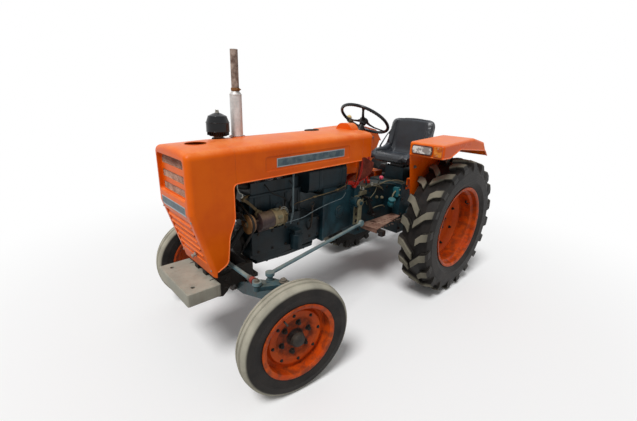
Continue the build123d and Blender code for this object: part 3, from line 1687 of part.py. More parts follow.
save(lower_links.part, "lower_links")

# Drawbar under the rear case
drawbar_bottom = 338
drawbar_thickness = 20
drawbar_hole_back = wheelbase + 370
with BuildPart() as drawbar:
    with BuildSketch(Plane.XY.offset(drawbar_bottom)):
        with Locations((0, back(wheelbase + 195))):
            Rectangle(64, 420)
        with Locations((0, back(drawbar_hole_back))):
            Circle(12, mode=Mode.SUBTRACT)
    extrude(amount=drawbar_thickness)
    for place in (wheelbase + 15, wheelbase + 120):
        with BuildSketch(Plane.XY.offset(drawbar_bottom + 12)):
            with Locations((0, back(place))):
                Rectangle(110, 40)
        extrude(amount=rear_case_bottom - seat_gap - drawbar_bottom - 12)
save(drawbar.part, "drawbar")
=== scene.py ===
# Looks of the vintage farm tractor: camera, studio, paints, the soft seat and the small trim
import bpy
import bmesh
import math
import random
from mathutils import Matrix, Vector
from mathutils.kdtree import KDTree


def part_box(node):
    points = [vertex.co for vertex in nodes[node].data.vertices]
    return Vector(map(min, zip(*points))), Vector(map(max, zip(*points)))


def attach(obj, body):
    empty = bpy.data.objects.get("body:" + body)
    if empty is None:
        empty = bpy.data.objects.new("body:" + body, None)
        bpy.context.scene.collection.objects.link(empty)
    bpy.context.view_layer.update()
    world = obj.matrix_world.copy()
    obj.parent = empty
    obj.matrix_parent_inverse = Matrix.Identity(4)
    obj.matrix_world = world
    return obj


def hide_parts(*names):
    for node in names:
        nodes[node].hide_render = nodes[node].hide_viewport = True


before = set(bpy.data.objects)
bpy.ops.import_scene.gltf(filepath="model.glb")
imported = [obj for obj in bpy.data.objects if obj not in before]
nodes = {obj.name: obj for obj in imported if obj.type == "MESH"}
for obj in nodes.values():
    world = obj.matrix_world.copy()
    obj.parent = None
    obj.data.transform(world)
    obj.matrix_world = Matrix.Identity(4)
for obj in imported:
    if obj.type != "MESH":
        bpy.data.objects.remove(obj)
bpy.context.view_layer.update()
random.seed(4)
print("frame loaded, nodes:", len(nodes))

# Places along the tractor are metres behind the kingpins, as on the real frame
kingpinY = -0.9075
rearAxle = dict(x=0.525, y=0.6875, z=0.532)


def back(distance):
    return kingpinY + distance


def tint(red, green, blue):
    # A screen colour, 0 to 255, as the linear colour that a shader takes
    return [((c / 255 + 0.055) / 1.055) ** 2.4 if c > 10 else c / 255 / 12.92 for c in (red, green, blue)] + [1.0]


# Small helpers for node trees
def addNode(tree, kind, **settings):
    node = tree.nodes.new(kind)
    for key, value in settings.items():
        setattr(node, key, value)
    return node


def plug(tree, value, socket):
    # Joins a socket to a socket, or sets a plain value on it
    if isinstance(value, bpy.types.NodeSocket):
        tree.links.new(value, socket)
    elif value is not None:
        socket.default_value = value


def repaint(thing, paint):
    # Leaves this one material on a node or a piece
    thing.data.materials.clear()
    thing.data.materials.append(paint)


def calc(tree, operation, a, b=None, clamp=False):
    node = addNode(tree, "ShaderNodeMath", operation=operation, use_clamp=clamp)
    plug(tree, a, node.inputs[0])
    plug(tree, b, node.inputs[1])
    return node.outputs[0]


def objectPlace(tree):
    # Where a point lies on its object, whole and split into X, Y and Z
    place = addNode(tree, "ShaderNodeTexCoord").outputs["Object"]
    parts = addNode(tree, "ShaderNodeSeparateXYZ")
    plug(tree, place, parts.inputs[0])
    return place, parts.outputs


def spread(tree, value, low, high, toLow=0.0, toHigh=1.0):
    node = addNode(tree, "ShaderNodeMapRange", interpolation_type="SMOOTHSTEP")
    for socket, number in zip(node.inputs, (value, low, high, toLow, toHigh)):
        plug(tree, number, socket)
    return node.outputs[0]


def blendColour(tree, share, first, second, kind="MIX"):
    node = addNode(tree, "ShaderNodeMix", data_type="RGBA", blend_type=kind)
    plug(tree, share, node.inputs[0])
    plug(tree, first, node.inputs[6])
    plug(tree, second, node.inputs[7])
    return node.outputs[2]


def noiseOf(tree, place, scale, detail=4.0, rough=0.55, warp=0.0):
    node = addNode(tree, "ShaderNodeTexNoise")
    plug(tree, place, node.inputs["Vector"])
    node.inputs["Scale"].default_value = scale
    node.inputs["Detail"].default_value = detail
    node.inputs["Roughness"].default_value = rough
    node.inputs["Distortion"].default_value = warp
    return node.outputs["Fac"]


def newGroup(name, inputs, outputs):
    # A node group with named sockets: each is (name, socket kind, value)
    group = bpy.data.node_groups.new(name, "ShaderNodeTree")
    for title, kind, value in inputs:
        socket = group.interface.new_socket(title, in_out="INPUT", socket_type=kind)
        if value is not None:
            socket.default_value = value
    for title, kind in outputs:
        group.interface.new_socket(title, in_out="OUTPUT", socket_type=kind)
    return group, group.nodes.new("NodeGroupInput"), group.nodes.new("NodeGroupOutput")


number, vector = "NodeSocketFloat", "NodeSocketVector"


def makeEdgeWear():
    # Rounds the edges a little and finds where paint chips off them
    group, given, result = newGroup(
        "edgeWear",
        [("Radius", number, 0.003), ("Amount", number, 0.5), ("Scale", number, 30.0)],
        [("Mask", number), ("Normal", vector)],
    )
    rounded = addNode(group, "ShaderNodeBevel", samples=6)
    plug(group, given.outputs["Radius"], rounded.inputs["Radius"])
    geometry = addNode(group, "ShaderNodeNewGeometry")
    facing = addNode(group, "ShaderNodeVectorMath", operation="DOT_PRODUCT")
    plug(group, rounded.outputs[0], facing.inputs[0])
    plug(group, geometry.outputs["Normal"], facing.inputs[1])
    edge = spread(group, calc(group, "SUBTRACT", 1.0, facing.outputs["Value"]), 0.03, 0.26)
    place = addNode(group, "ShaderNodeTexCoord").outputs["Object"]
    chips = addNode(group, "ShaderNodeTexNoise")
    plug(group, place, chips.inputs["Vector"])
    plug(group, given.outputs["Scale"], chips.inputs["Scale"])
    chips.inputs["Detail"].default_value = 5.0
    chipped = spread(group, calc(group, "ADD", chips.outputs["Fac"], given.outputs["Amount"]), 0.85, 1.05)
    plug(group, calc(group, "MULTIPLY", edge, chipped, clamp=True), result.inputs["Mask"])
    plug(group, rounded.outputs[0], result.inputs["Normal"])
    return group


def makeDust():
    # A lighter colour on what faces up, which is dust on most finishes and partly a painted sheen of the sky on the
    # orange body's tops, and mud thrown at what is low
    group, given, result = newGroup(
        "dustAndTopSheen",
        [("Lying", number, 0.5), ("Thrown", number, 0.3), ("Height", number, 0.6)],
        [("Mask", number)],
    )
    geometry = addNode(group, "ShaderNodeNewGeometry")
    up = addNode(group, "ShaderNodeSeparateXYZ")
    plug(group, geometry.outputs["Normal"], up.inputs[0])
    place = addNode(group, "ShaderNodeTexCoord").outputs["Object"]
    high = addNode(group, "ShaderNodeSeparateXYZ")
    plug(group, place, high.inputs[0])
    coarse = noiseOf(group, place, 9.0, 6.0)
    fine = noiseOf(group, place, 70.0, 4.0)
    cloud = calc(
        group, "MULTIPLY", spread(group, coarse, 0.3, 0.7, 0.35, 1.0), spread(group, fine, 0.25, 0.65, 0.5, 1.0)
    )
    lying = calc(group, "MULTIPLY", spread(group, up.outputs["Z"], 0.25, 0.95), given.outputs["Lying"])
    low = calc(group, "DIVIDE", high.outputs["Z"], given.outputs["Height"])
    thrown = calc(group, "MULTIPLY", spread(group, low, 0.2, 1.0, 1.0, 0.0), given.outputs["Thrown"])
    total = calc(group, "MULTIPLY", calc(group, "ADD", lying, thrown), cloud, clamp=True)
    plug(group, total, result.inputs["Mask"])
    return group


def makeMottle():
    # Slow changes of shade, streaks that run down, and a fine grain for the bump
    group, given, result = newGroup(
        "mottle",
        [("Scale", number, 6.0), ("Streaks", number, 0.3)],
        [("Shade", number), ("Streak", number), ("Grain", number)],
    )
    place = addNode(group, "ShaderNodeTexCoord").outputs["Object"]
    scaled = addNode(group, "ShaderNodeVectorMath", operation="SCALE")
    plug(group, place, scaled.inputs[0])
    plug(group, given.outputs["Scale"], scaled.inputs["Scale"])
    plug(group, noiseOf(group, scaled.outputs[0], 1.0, 6.0, 0.6), result.inputs["Shade"])
    stretched = addNode(group, "ShaderNodeMapping")
    stretched.inputs["Scale"].default_value = (22.0, 22.0, 1.6)
    plug(group, place, stretched.inputs["Vector"])
    runs = spread(group, noiseOf(group, stretched.outputs[0], 1.0, 3.0), 0.52, 0.75)
    plug(group, calc(group, "MULTIPLY", runs, given.outputs["Streaks"]), result.inputs["Streak"])
    plug(group, noiseOf(group, place, 260.0, 3.0), result.inputs["Grain"])
    return group


def makeWheelDirt():
    # How far a point lies from a wheel's axle, for dust by radius and the rings of a sidewall
    group, given, result = newGroup(
        "wheelRadius",
        [("Centre", vector, (0, 0, 0)), ("Axis", vector, (1, 0, 0)), ("Reach", number, 0.3)],
        [("Share", number), ("Across", number)],
    )
    place = addNode(group, "ShaderNodeTexCoord").outputs["Object"]
    offset = addNode(group, "ShaderNodeVectorMath", operation="SUBTRACT")
    plug(group, place, offset.inputs[0])
    plug(group, given.outputs["Centre"], offset.inputs[1])
    turned = addNode(group, "ShaderNodeVectorMath", operation="CROSS_PRODUCT")
    plug(group, offset.outputs[0], turned.inputs[0])
    plug(group, given.outputs["Axis"], turned.inputs[1])
    length = addNode(group, "ShaderNodeVectorMath", operation="LENGTH")
    plug(group, turned.outputs[0], length.inputs[0])
    plug(group, calc(group, "DIVIDE", length.outputs["Value"], given.outputs["Reach"]), result.inputs["Share"])
    along = addNode(group, "ShaderNodeVectorMath", operation="DOT_PRODUCT")
    plug(group, offset.outputs[0], along.inputs[0])
    plug(group, given.outputs["Axis"], along.inputs[1])
    plug(group, along.outputs["Value"], result.inputs["Across"])
    return group


edgeWear = makeEdgeWear()
dustAndTopSheen = makeDust()
mottle = makeMottle()
wheelRadius = makeWheelDirt()
print("shared shader groups built")


def useGroup(tree, group, **values):
    node = addNode(tree, "ShaderNodeGroup", node_tree=group)
    for key, value in values.items():
        node.inputs[key].default_value = value
    return node


def startMaterial(name):
    material = bpy.data.materials.new(name)
    material.use_nodes = True
    tree = material.node_tree
    shader = next(n for n in tree.nodes if n.type == "BSDF_PRINCIPLED")
    return material, tree, shader


def bumpFrom(tree, height, strength, distance, normal=None):
    node = addNode(tree, "ShaderNodeBump")
    node.inputs["Strength"].default_value = strength
    node.inputs["Distance"].default_value = distance
    plug(tree, height, node.inputs["Height"])
    plug(tree, normal, node.inputs["Normal"])
    return node.outputs["Normal"]


# Finishes that share one build; each one below gives only what differs from the usual
usualFinish = dict(
    coat=0.0, chips=0.2, radius=0.003, lying=0.3, thrown=0.0, height=0.8, streaks=0.2, grain=0.15, shine=0.3,
)


def paintLook(fresh, faded, under, dustAndSheen, **own):
    # Screen colours of the fresh, faded and worn paint and of what lies on its tops, dust that on the orange body is
    # partly painted sheen, and its own measures
    colours = dict(fresh=tint(*fresh), faded=tint(*faded), under=tint(*under), dustAndSheen=tint(*dustAndSheen))
    return {**usualFinish, **colours, **own}


finishes = {
    # Orange body: the pale orange on its tops is partly dust and partly a painted sheen of the sky on the hood's crown
    "bodyEnamel": paintLook(
        (222, 86, 2), (238, 104, 8), (150, 70, 30), (250, 172, 112), gloss=0.3, scale=2.6, coat=0.05, chips=-0.08,
        radius=0.005, lying=0.5, thrown=0.04, streaks=0.05, grain=0.04, shine=0.12,
    ),
    "wheelEnamel": paintLook(
        (184, 64, 8), (204, 84, 18), (92, 40, 22), (150, 112, 84), gloss=0.5, scale=7.0, chips=0.25, radius=0.004,
        lying=0.2, thrown=0.25, height=1.1, streaks=0.35, shine=0.12,
    ),
    "chassisEnamel": paintLook(
        (20, 50, 60), (44, 86, 98), (34, 30, 26), (132, 120, 92), gloss=0.42, scale=6.0, coat=0.05, chips=0.22,
        radius=0.006, lying=0.45, thrown=0.3, height=0.9, streaks=0.5, grain=0.3,
    ),
    # Engine teal, far darker than the chassis: partly oil and dirt, partly painted shade under the hood
    "engineEnamelOilAndShade": paintLook(
        (5, 16, 21), (15, 38, 46), (8, 9, 8), (50, 52, 42), gloss=0.4, scale=7.0, coat=0.05, radius=0.006, lying=0.2,
        thrown=0.2, height=0.9, streaks=0.7, grain=0.35, shine=0.25,
    ),
    "rodEnamel": paintLook(
        (84, 112, 120), (116, 142, 146), (70, 52, 42), (150, 134, 108), gloss=0.45, scale=9.0, chips=0.25, lying=0.6,
        thrown=0.2, height=0.9,
    ),
    "frameBlack": paintLook(
        (16, 16, 16), (30, 28, 26), (84, 50, 34), (86, 74, 60), gloss=0.5, scale=6.0, chips=0.3, radius=0.005,
        lying=0.25, thrown=0.3, streaks=0.3, grain=0.3,
    ),
    "weightIron": paintLook(
        (152, 150, 138), (170, 166, 152), (104, 66, 48), (120, 92, 70), gloss=0.7, scale=8.0, chips=0.42,
        radius=0.007, lying=0.1, thrown=0.75, height=0.56, grain=0.4, shine=0.2,
    ),
    "columnBlack": paintLook(
        (20, 20, 21), (36, 36, 38), (80, 70, 64), (100, 90, 78), gloss=0.35, scale=8.0, coat=0.1, chips=0.1,
        lying=0.2, thrown=0.1, streaks=0.1, grain=0.1,
    ),
    "glossBlack": paintLook(
        (8, 9, 12), (18, 20, 26), (60, 60, 62), (70, 74, 84), gloss=0.2, scale=8.0, coat=0.15, chips=-0.2, lying=0.1,
        streaks=0.05, grain=0.03, shine=0.25,
    ),
    "stepRust": paintLook(
        (112, 78, 66), (150, 116, 100), (70, 44, 34), (160, 138, 120), gloss=0.8, scale=9.0, chips=0.4, lying=0.35,
        thrown=0.3, height=0.9, grain=0.5, shine=0.15,
    ),
    "rustySteel": paintLook(
        (112, 72, 40), (150, 104, 62), (60, 40, 30), (158, 130, 96), gloss=0.62, scale=12.0, thrown=0.1, grain=0.4,
        shine=0.2,
    ),
    "linkSteel": paintLook(
        (84, 80, 74), (112, 106, 96), (104, 66, 44), (130, 118, 98), gloss=0.5, scale=10.0, chips=0.35, thrown=0.3,
        grain=0.3,
    ),
    "leverRed": paintLook(
        (178, 26, 18), (208, 52, 36), (70, 50, 44), (150, 100, 80), gloss=0.35, scale=12.0, coat=0.1, radius=0.002,
        lying=0.15, streaks=0.0, grain=0.05,
    ),
    "coreBlack": paintLook(
        (16, 16, 16), (30, 29, 27), (60, 54, 46), (80, 74, 62), gloss=0.7, scale=9.0, chips=0.1, thrown=0.2,
        streaks=0.1, grain=0.3, shine=0.2,
    ),
    "boltZinc": paintLook(
        (132, 130, 124), (160, 156, 146), (98, 66, 46), (126, 112, 92), gloss=0.42, scale=30.0, chips=0.3,
        radius=0.001, thrown=0.2, height=0.9, shine=0.5,
    ),
    "brassWorn": paintLook(
        (140, 112, 62), (168, 142, 90), (80, 66, 44), (130, 116, 86), gloss=0.38, scale=30.0, radius=0.001,
        thrown=0.1, grain=0.1, shine=0.5,
    ),
    "hoseRubber": paintLook(
        (24, 24, 24), (46, 45, 43), (70, 66, 60), (98, 92, 78), gloss=0.6, scale=14.0, chips=0.1, radius=0.002,
        lying=0.35, thrown=0.1, height=0.9, streaks=0.1, grain=0.25, shine=0.25,
    ),
    "castDusty": paintLook(
        (92, 88, 70), (132, 126, 102), (60, 56, 46), (150, 142, 116), gloss=0.75, scale=14.0, lying=0.4, thrown=0.3,
        height=0.9, streaks=0.4, grain=0.4, shine=0.15,
    ),
    "platePale": paintLook(
        (150, 156, 158), (176, 182, 182), (96, 84, 74), (150, 132, 116), gloss=0.35, scale=18.0, chips=0.15,
        radius=0.0008, lying=0.1, streaks=0.15, grain=0.08, shine=0.5,
    ),
    "plateBlue": paintLook(
        (52, 72, 84), (96, 112, 116), (120, 124, 122), (140, 130, 116), gloss=0.4, scale=24.0, chips=0.15,
        radius=0.0008, lying=0.1, streaks=0.25, grain=0.08,
    ),
    "knobCream": paintLook(
        (226, 196, 130), (240, 220, 170), (140, 110, 70), (170, 140, 100), gloss=0.3, scale=30.0, coat=0.2,
        chips=0.05, radius=0.002, lying=0.1, streaks=0.1, grain=0.03,
    ),
    "knobPink": paintLook(
        (206, 54, 84), (226, 96, 118), (120, 40, 50), (190, 120, 120), gloss=0.3, scale=30.0, coat=0.2, chips=0.05,
        radius=0.002, lying=0.1, streaks=0.1, grain=0.03,
    ),
    "bootRed": paintLook(
        (128, 48, 42), (156, 76, 66), (60, 36, 32), (140, 104, 88), gloss=0.6, scale=20.0, chips=0.05, radius=0.002,
        lying=0.25, thrown=0.1, streaks=0.1, shine=0.2,
    ),
    "wirePale": paintLook(
        (150, 152, 144), (186, 186, 176), (120, 110, 90), (140, 128, 104), gloss=0.5, scale=30.0, chips=0.05,
        radius=0.0006, lying=0.2, streaks=0.1, grain=0.05,
    ),
    "wireMesh": paintLook(
        (180, 132, 112), (224, 182, 160), (60, 34, 26), (200, 160, 140), gloss=0.55, scale=20.0, radius=0.0006,
        grain=0.1,
    ),
    "tealBright": paintLook(
        (24, 88, 98), (46, 112, 120), (40, 44, 42), (120, 128, 112), gloss=0.42, scale=12.0, coat=0.05, chips=0.15,
        thrown=0.1, streaks=0.3,
    ),
    "plateBrown": paintLook(
        (104, 40, 28), (146, 70, 52), (60, 40, 34), (140, 110, 92), gloss=0.6, scale=24.0, chips=0.3, radius=0.002,
        lying=0.2, streaks=0.5, grain=0.2,
    ),
    # Lighter orange for the rolled lips: a painted highlight where their rounded edge catches the light
    "paintedLipHighlight": paintLook(
        (244, 108, 36), (252, 140, 72), (150, 70, 30), (236, 160, 120), gloss=0.3, scale=8.0, coat=0.1, chips=0.0,
        radius=0.001, lying=0.2, streaks=0.1, grain=0.03, shine=0.2,
    ),
    "caseEnamel": paintLook(
        (10, 32, 40), (26, 62, 72), (18, 20, 18), (112, 104, 80), gloss=0.42, scale=7.0, coat=0.05, radius=0.006,
        lying=0.4, thrown=0.15, streaks=0.6, grain=0.35, shine=0.25,
    ),
    "fanBlack": paintLook(
        (14, 13, 12), (34, 28, 23), (74, 56, 40), (74, 62, 46), gloss=0.55, scale=12.0, lying=0.25, streaks=0.3,
        grain=0.3, shine=0.25,
    ),
    "strapKhaki": paintLook(
        (84, 70, 48), (130, 112, 80), (40, 34, 26), (150, 136, 104), gloss=0.6, scale=18.0, chips=0.1, radius=0.002,
        streaks=0.3, grain=0.25, shine=0.2,
    ),
    "wireGrey": paintLook(
        (84, 98, 104), (124, 138, 142), (50, 50, 46), (120, 112, 92), gloss=0.5, scale=20.0, chips=0.05,
        radius=0.0006, lying=0.2, grain=0.05,
    ),
}


def makeFinish(name, look):
    material, tree, shader = startMaterial(name)
    wear = useGroup(tree, edgeWear, Radius=look["radius"], Amount=look["chips"])
    dustAndSheen = useGroup(tree, dustAndTopSheen, Lying=look["lying"], Thrown=look["thrown"], Height=look["height"])
    tone = useGroup(tree, mottle, Scale=look["scale"], Streaks=look["streaks"])
    shade = spread(tree, tone.outputs["Shade"], 0.35, 0.68)
    base = blendColour(tree, shade, look["fresh"], look["faded"])
    base = blendColour(tree, tone.outputs["Streak"], base, look["under"])
    base = blendColour(tree, wear.outputs["Mask"], base, look["under"])
    # Up-facing parts take the dust colour, which on the orange body is partly painted sheen
    base = blendColour(tree, dustAndSheen.outputs["Mask"], base, look["dustAndSheen"])
    plug(tree, base, shader.inputs["Base Color"])
    dull = calc(tree, "MULTIPLY", calc(tree, "ADD", dustAndSheen.outputs["Mask"], wear.outputs["Mask"]), 0.45)
    rough = calc(
        tree, "ADD", spread(tree, tone.outputs["Shade"], 0.3, 0.7, look["gloss"] - 0.06, look["gloss"] + 0.1), dull,
        clamp=True
    )
    plug(tree, rough, shader.inputs["Roughness"])
    shader.inputs["Coat Weight"].default_value = look["coat"]
    shader.inputs["Coat Roughness"].default_value = 0.12
    shader.inputs["Specular IOR Level"].default_value = look["shine"]
    height = calc(tree, "ADD", tone.outputs["Grain"], calc(tree, "MULTIPLY", wear.outputs["Mask"], -1.5))
    plug(tree, bumpFrom(tree, height, look["grain"], 0.002, wear.outputs["Normal"]), shader.inputs["Normal"])
    return material


paints = {name: makeFinish(name, look) for name, look in finishes.items()}

tyreLook = dict(
    rubber=tint(17, 15, 14), worn=tint(40, 36, 33), frontDust=tint(182, 177, 160), rearDust=tint(150, 144, 126),
)


def makeTyre(name, centre, axis, reach, dustColour, dustStart, dustAmount, rings):
    material, tree, shader = startMaterial(name)
    round_ = useGroup(tree, wheelRadius, Centre=centre, Axis=axis, Reach=reach)
    wear = useGroup(tree, edgeWear, Radius=0.004, Amount=0.45, Scale=14.0)
    tone = useGroup(tree, mottle, Scale=8.0, Streaks=0.0)
    share = round_.outputs["Share"]
    base = blendColour(tree, spread(tree, tone.outputs["Shade"], 0.3, 0.7), tyreLook["rubber"], tyreLook["worn"])
    tread = spread(tree, share, dustStart[0], dustStart[1])
    cloud = spread(tree, tone.outputs["Shade"], 0.2, 0.75, 0.55, 1.0)
    mask = calc(tree, "MULTIPLY", calc(tree, "MULTIPLY", tread, cloud), dustAmount)
    mask = calc(tree, "ADD", mask, calc(tree, "MULTIPLY", wear.outputs["Mask"], 0.35), clamp=True)
    plug(tree, blendColour(tree, mask, base, dustColour), shader.inputs["Base Color"])
    plug(tree, calc(tree, "ADD", 0.55, calc(tree, "MULTIPLY", mask, 0.35), clamp=True), shader.inputs["Roughness"])
    shader.inputs["Specular IOR Level"].default_value = 0.2
    wave = calc(tree, "SINE", calc(tree, "MULTIPLY", share, rings))
    ringed = calc(tree, "MULTIPLY", spread(tree, wave, 0.4, 0.95), spread(tree, share, 0.86, 0.8))
    height = calc(tree, "ADD", calc(tree, "MULTIPLY", tone.outputs["Grain"], 0.4), ringed)
    plug(tree, bumpFrom(tree, height, 0.35, 0.003, wear.outputs["Normal"]), shader.inputs["Normal"])
    return material


parkTurn = math.radians(-8)
sides = {"left": 1, "right": -1}
for sideName, side in sides.items():
    out = Vector((math.cos(parkTurn), math.sin(parkTurn), 0))
    low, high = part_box(f"front_tyre_{sideName}")
    centre = (low + high) / 2
    paints[f"front_tyre_{sideName}"] = makeTyre(
        f"frontRubber{sideName.title()}", centre, out, 0.312, tyreLook["frontDust"], (0.915, 0.955), 0.95, 260.0
    )
    low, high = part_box(f"rear_tyre_{sideName}")
    paints[f"rear_tyre_{sideName}"] = makeTyre(
        f"rearRubber{sideName.title()}", (low + high) / 2, (1, 0, 0), 0.532, tyreLook["rearDust"], (0.955, 0.99),
        0.75, 300.0
    )


def makeGenerator():
    # Purple-brown body between a rusty pulley and a dusty brush end, told apart by their place along it
    material, tree, shader = startMaterial("generatorCase")
    place, along = objectPlace(tree)
    tone = useGroup(tree, mottle, Scale=16.0, Streaks=0.3)
    wear = useGroup(tree, edgeWear, Radius=0.003, Amount=0.25)
    dustAndSheen = useGroup(tree, dustAndTopSheen, Lying=0.45, Thrown=0.0, Height=0.8)
    shade = spread(tree, tone.outputs["Shade"], 0.35, 0.65)
    casing = blendColour(tree, shade, tint(54, 40, 40), tint(84, 64, 58))
    rust = blendColour(tree, shade, tint(96, 66, 38), tint(146, 104, 62))
    ends = blendColour(tree, shade, tint(112, 98, 70), tint(150, 132, 98))
    isPulley = spread(tree, along["Y"], back(0.024), back(0.016))
    isEnd = spread(tree, along["Y"], back(0.148), back(0.152))
    base = blendColour(tree, isPulley, blendColour(tree, isEnd, casing, ends), rust)
    base = blendColour(tree, wear.outputs["Mask"], base, tint(122, 100, 72))
    base = blendColour(tree, dustAndSheen.outputs["Mask"], base, tint(146, 124, 88))
    plug(tree, base, shader.inputs["Base Color"])
    plug(
        tree, calc(tree, "ADD", 0.42, calc(tree, "MULTIPLY", dustAndSheen.outputs["Mask"], 0.5), clamp=True),
        shader.inputs["Roughness"]
    )
    shader.inputs["Specular IOR Level"].default_value = 0.3
    plug(tree, bumpFrom(tree, tone.outputs["Grain"], 0.25, 0.002, wear.outputs["Normal"]), shader.inputs["Normal"])
    return material


paints["generatorCase"] = makeGenerator()


def makeVinyl():
    material, tree, shader = startMaterial("seatVinyl")
    place = addNode(tree, "ShaderNodeTexCoord").outputs["Object"]
    grain = addNode(tree, "ShaderNodeTexVoronoi", feature="DISTANCE_TO_EDGE")
    plug(tree, place, grain.inputs["Vector"])
    grain.inputs["Scale"].default_value = 420.0
    dustAndSheen = useGroup(tree, dustAndTopSheen, Lying=0.25, Thrown=0.0, Height=0.8)
    tone = useGroup(tree, mottle, Scale=9.0, Streaks=0.1)
    base = blendColour(tree, spread(tree, tone.outputs["Shade"], 0.3, 0.7), tint(16, 18, 22), tint(32, 37, 44))
    # The blue-grey on what faces up is partly dust and partly a painted sheen on the glossy vinyl
    plug(tree, blendColour(tree, dustAndSheen.outputs["Mask"], base, tint(84, 94, 106)), shader.inputs["Base Color"])
    plug(tree, spread(tree, tone.outputs["Shade"], 0.3, 0.7, 0.26, 0.4), shader.inputs["Roughness"])
    shader.inputs["Sheen Weight"].default_value = 0.08
    creases = spread(tree, grain.outputs["Distance"], 0.0, 0.12)
    plug(tree, bumpFrom(tree, creases, 0.15, 0.0006), shader.inputs["Normal"])
    return material


paints["seatVinyl"] = makeVinyl()


def makeStack():
    # Aluminium paint on the muffler, with the pipe above it rusted bare
    material, tree, shader = startMaterial("stackPaint")
    place, high = objectPlace(tree)
    tone = useGroup(tree, mottle, Scale=26.0, Streaks=0.45)
    pale = blendColour(tree, spread(tree, tone.outputs["Shade"], 0.3, 0.7), tint(196, 192, 188), tint(226, 223, 220))
    pale = blendColour(tree, tone.outputs["Streak"], pale, tint(150, 134, 124))
    rust = blendColour(tree, spread(tree, tone.outputs["Shade"], 0.35, 0.65), tint(96, 74, 62), tint(176, 156, 142))
    ragged = calc(tree, "ADD", high["Z"], calc(tree, "MULTIPLY", tone.outputs["Shade"], 0.03))
    bare = spread(tree, ragged, 1.496, 1.512)
    plug(tree, blendColour(tree, bare, pale, rust), shader.inputs["Base Color"])
    plug(tree, spread(tree, bare, 0.0, 1.0, 0.42, 0.75), shader.inputs["Roughness"])
    plug(tree, spread(tree, bare, 0.0, 1.0, 0.25, 0.05), shader.inputs["Metallic"])
    plug(tree, bumpFrom(tree, tone.outputs["Grain"], 0.3, 0.002), shader.inputs["Normal"])
    return material


paints["stackPaint"] = makeStack()

print("materials built:", len(paints))

# Which finish each node of the model wears
worn = {
    "bodyEnamel": ("nose_cowl", "hood", "dash_panel", "fender_left", "fender_right"),
    "wheelEnamel": ("front_rim_left", "front_rim_right", "rear_rim_left", "rear_rim_right"),
    "chassisEnamel": (
        "front_axle", "knuckle_left", "knuckle_right", "lift_arms",
    ),
    "caseEnamel": ("clutch_housing", "transmission_case"),
    "engineEnamelOilAndShade": ("engine_block", "fuel_tank"),
    "rodEnamel": ("tie_rod", "drag_link"),
    "castDusty": ("pitman_arm",),
    "frameBlack": ("front_frame", "drawbar", "grille_mesh"),
    "weightIron": ("front_weight",),
    "coreBlack": ("radiator",),
    "fanBlack": ("fan_and_belt",),
    "generatorCase": ("generator",),
    "columnBlack": ("steering_column", "seat_bracket", "pedals"),
    "glossBlack": ("air_cleaner", "steering_wheel"),
    "seatVinyl": ("seat",),
    "stackPaint": ("exhaust_stack",),
    "stepRust": ("foot_plates",),
    "leverRed": ("levers",),
    "linkSteel": ("lift_rods", "lower_links"),
}
for finish, names in worn.items():
    for name in names:
        repaint(nodes[name], paints[finish])
for sideName in sides:
    for end in ("front", "rear"):
        tyre = nodes[f"{end}_tyre_{sideName}"]
        repaint(tyre, paints[tyre.name])


# Small helpers that add one form to a mesh in the making
def aim(place, axis):
    # A matrix whose z runs along the axis
    z = Vector(axis).normalized()
    hint = Vector((0, 0, 1)) if abs(z.z) < 0.95 else Vector((0, 1, 0))
    x = hint.cross(z).normalized()
    return Matrix.Translation(Vector(place)) @ Matrix((x, z.cross(x), z)).transposed().to_4x4()


def addLathe(form, place, axis, profile, segments=24):
    # Points (along, radius) turned about the axis
    spot = aim(place, axis)
    rings = []
    for along, radius in profile:
        if radius < 1e-6:
            rings.append([form.verts.new(spot @ Vector((0, 0, along)))])
            continue
        turns = [2 * math.pi * k / segments for k in range(segments)]
        rings.append(
            [form.verts.new(spot @ Vector((radius * math.cos(t), radius * math.sin(t), along))) for t in turns]
        )
    for first, second in zip(rings, rings[1:]):
        for k in range(segments):
            n = (k + 1) % segments
            corners = [first[k % len(first)], first[n % len(first)], second[n % len(second)], second[k % len(second)]]
            corners = list(dict.fromkeys(corners))
            if len(corners) > 2:
                form.faces.new(corners)


def addBlock(form, place, size, turn=(0, 0, 0)):
    spin = Matrix.Rotation(math.radians(turn[2]), 4, "Z") @ Matrix.Rotation(math.radians(turn[1]), 4, "Y")
    spin = spin @ Matrix.Rotation(math.radians(turn[0]), 4, "X")
    spot = Matrix.Translation(Vector(place)) @ spin @ Matrix.Diagonal((*size, 1))
    bmesh.ops.create_cube(form, size=1.0, matrix=spot)


def addTube(form, points, radius, segments=10, closed=False):
    # A tube along points; the radius may be a list with one value for each point
    points = [Vector(p) for p in points]
    count = len(points)
    radii = radius if isinstance(radius, (list, tuple)) else [radius] * count
    normal = None
    rings = []
    for k, point in enumerate(points):
        before = points[k - 1] if k or closed else point
        after = points[(k + 1) % count] if k < count - 1 or closed else point
        along = (after - before).normalized()
        if normal is None:
            hint = Vector((0, 0, 1)) if abs(along.z) < 0.9 else Vector((1, 0, 0))
            normal = along.cross(hint).normalized()
        normal = (normal - along * normal.dot(along)).normalized()
        side = along.cross(normal)
        turns = [2 * math.pi * s / segments for s in range(segments)]
        rings.append([form.verts.new(point + (normal * math.cos(t) + side * math.sin(t)) * radii[k]) for t in turns])
    pairs = list(zip(rings, rings[1:]))
    if closed:
        pairs.append((rings[-1], rings[0]))
    for first, second in pairs:
        for s in range(segments):
            n = (s + 1) % segments
            form.faces.new((first[s], first[n], second[n], second[s]))
    if not closed:
        form.faces.new(rings[0][::-1])
        form.faces.new(rings[-1])


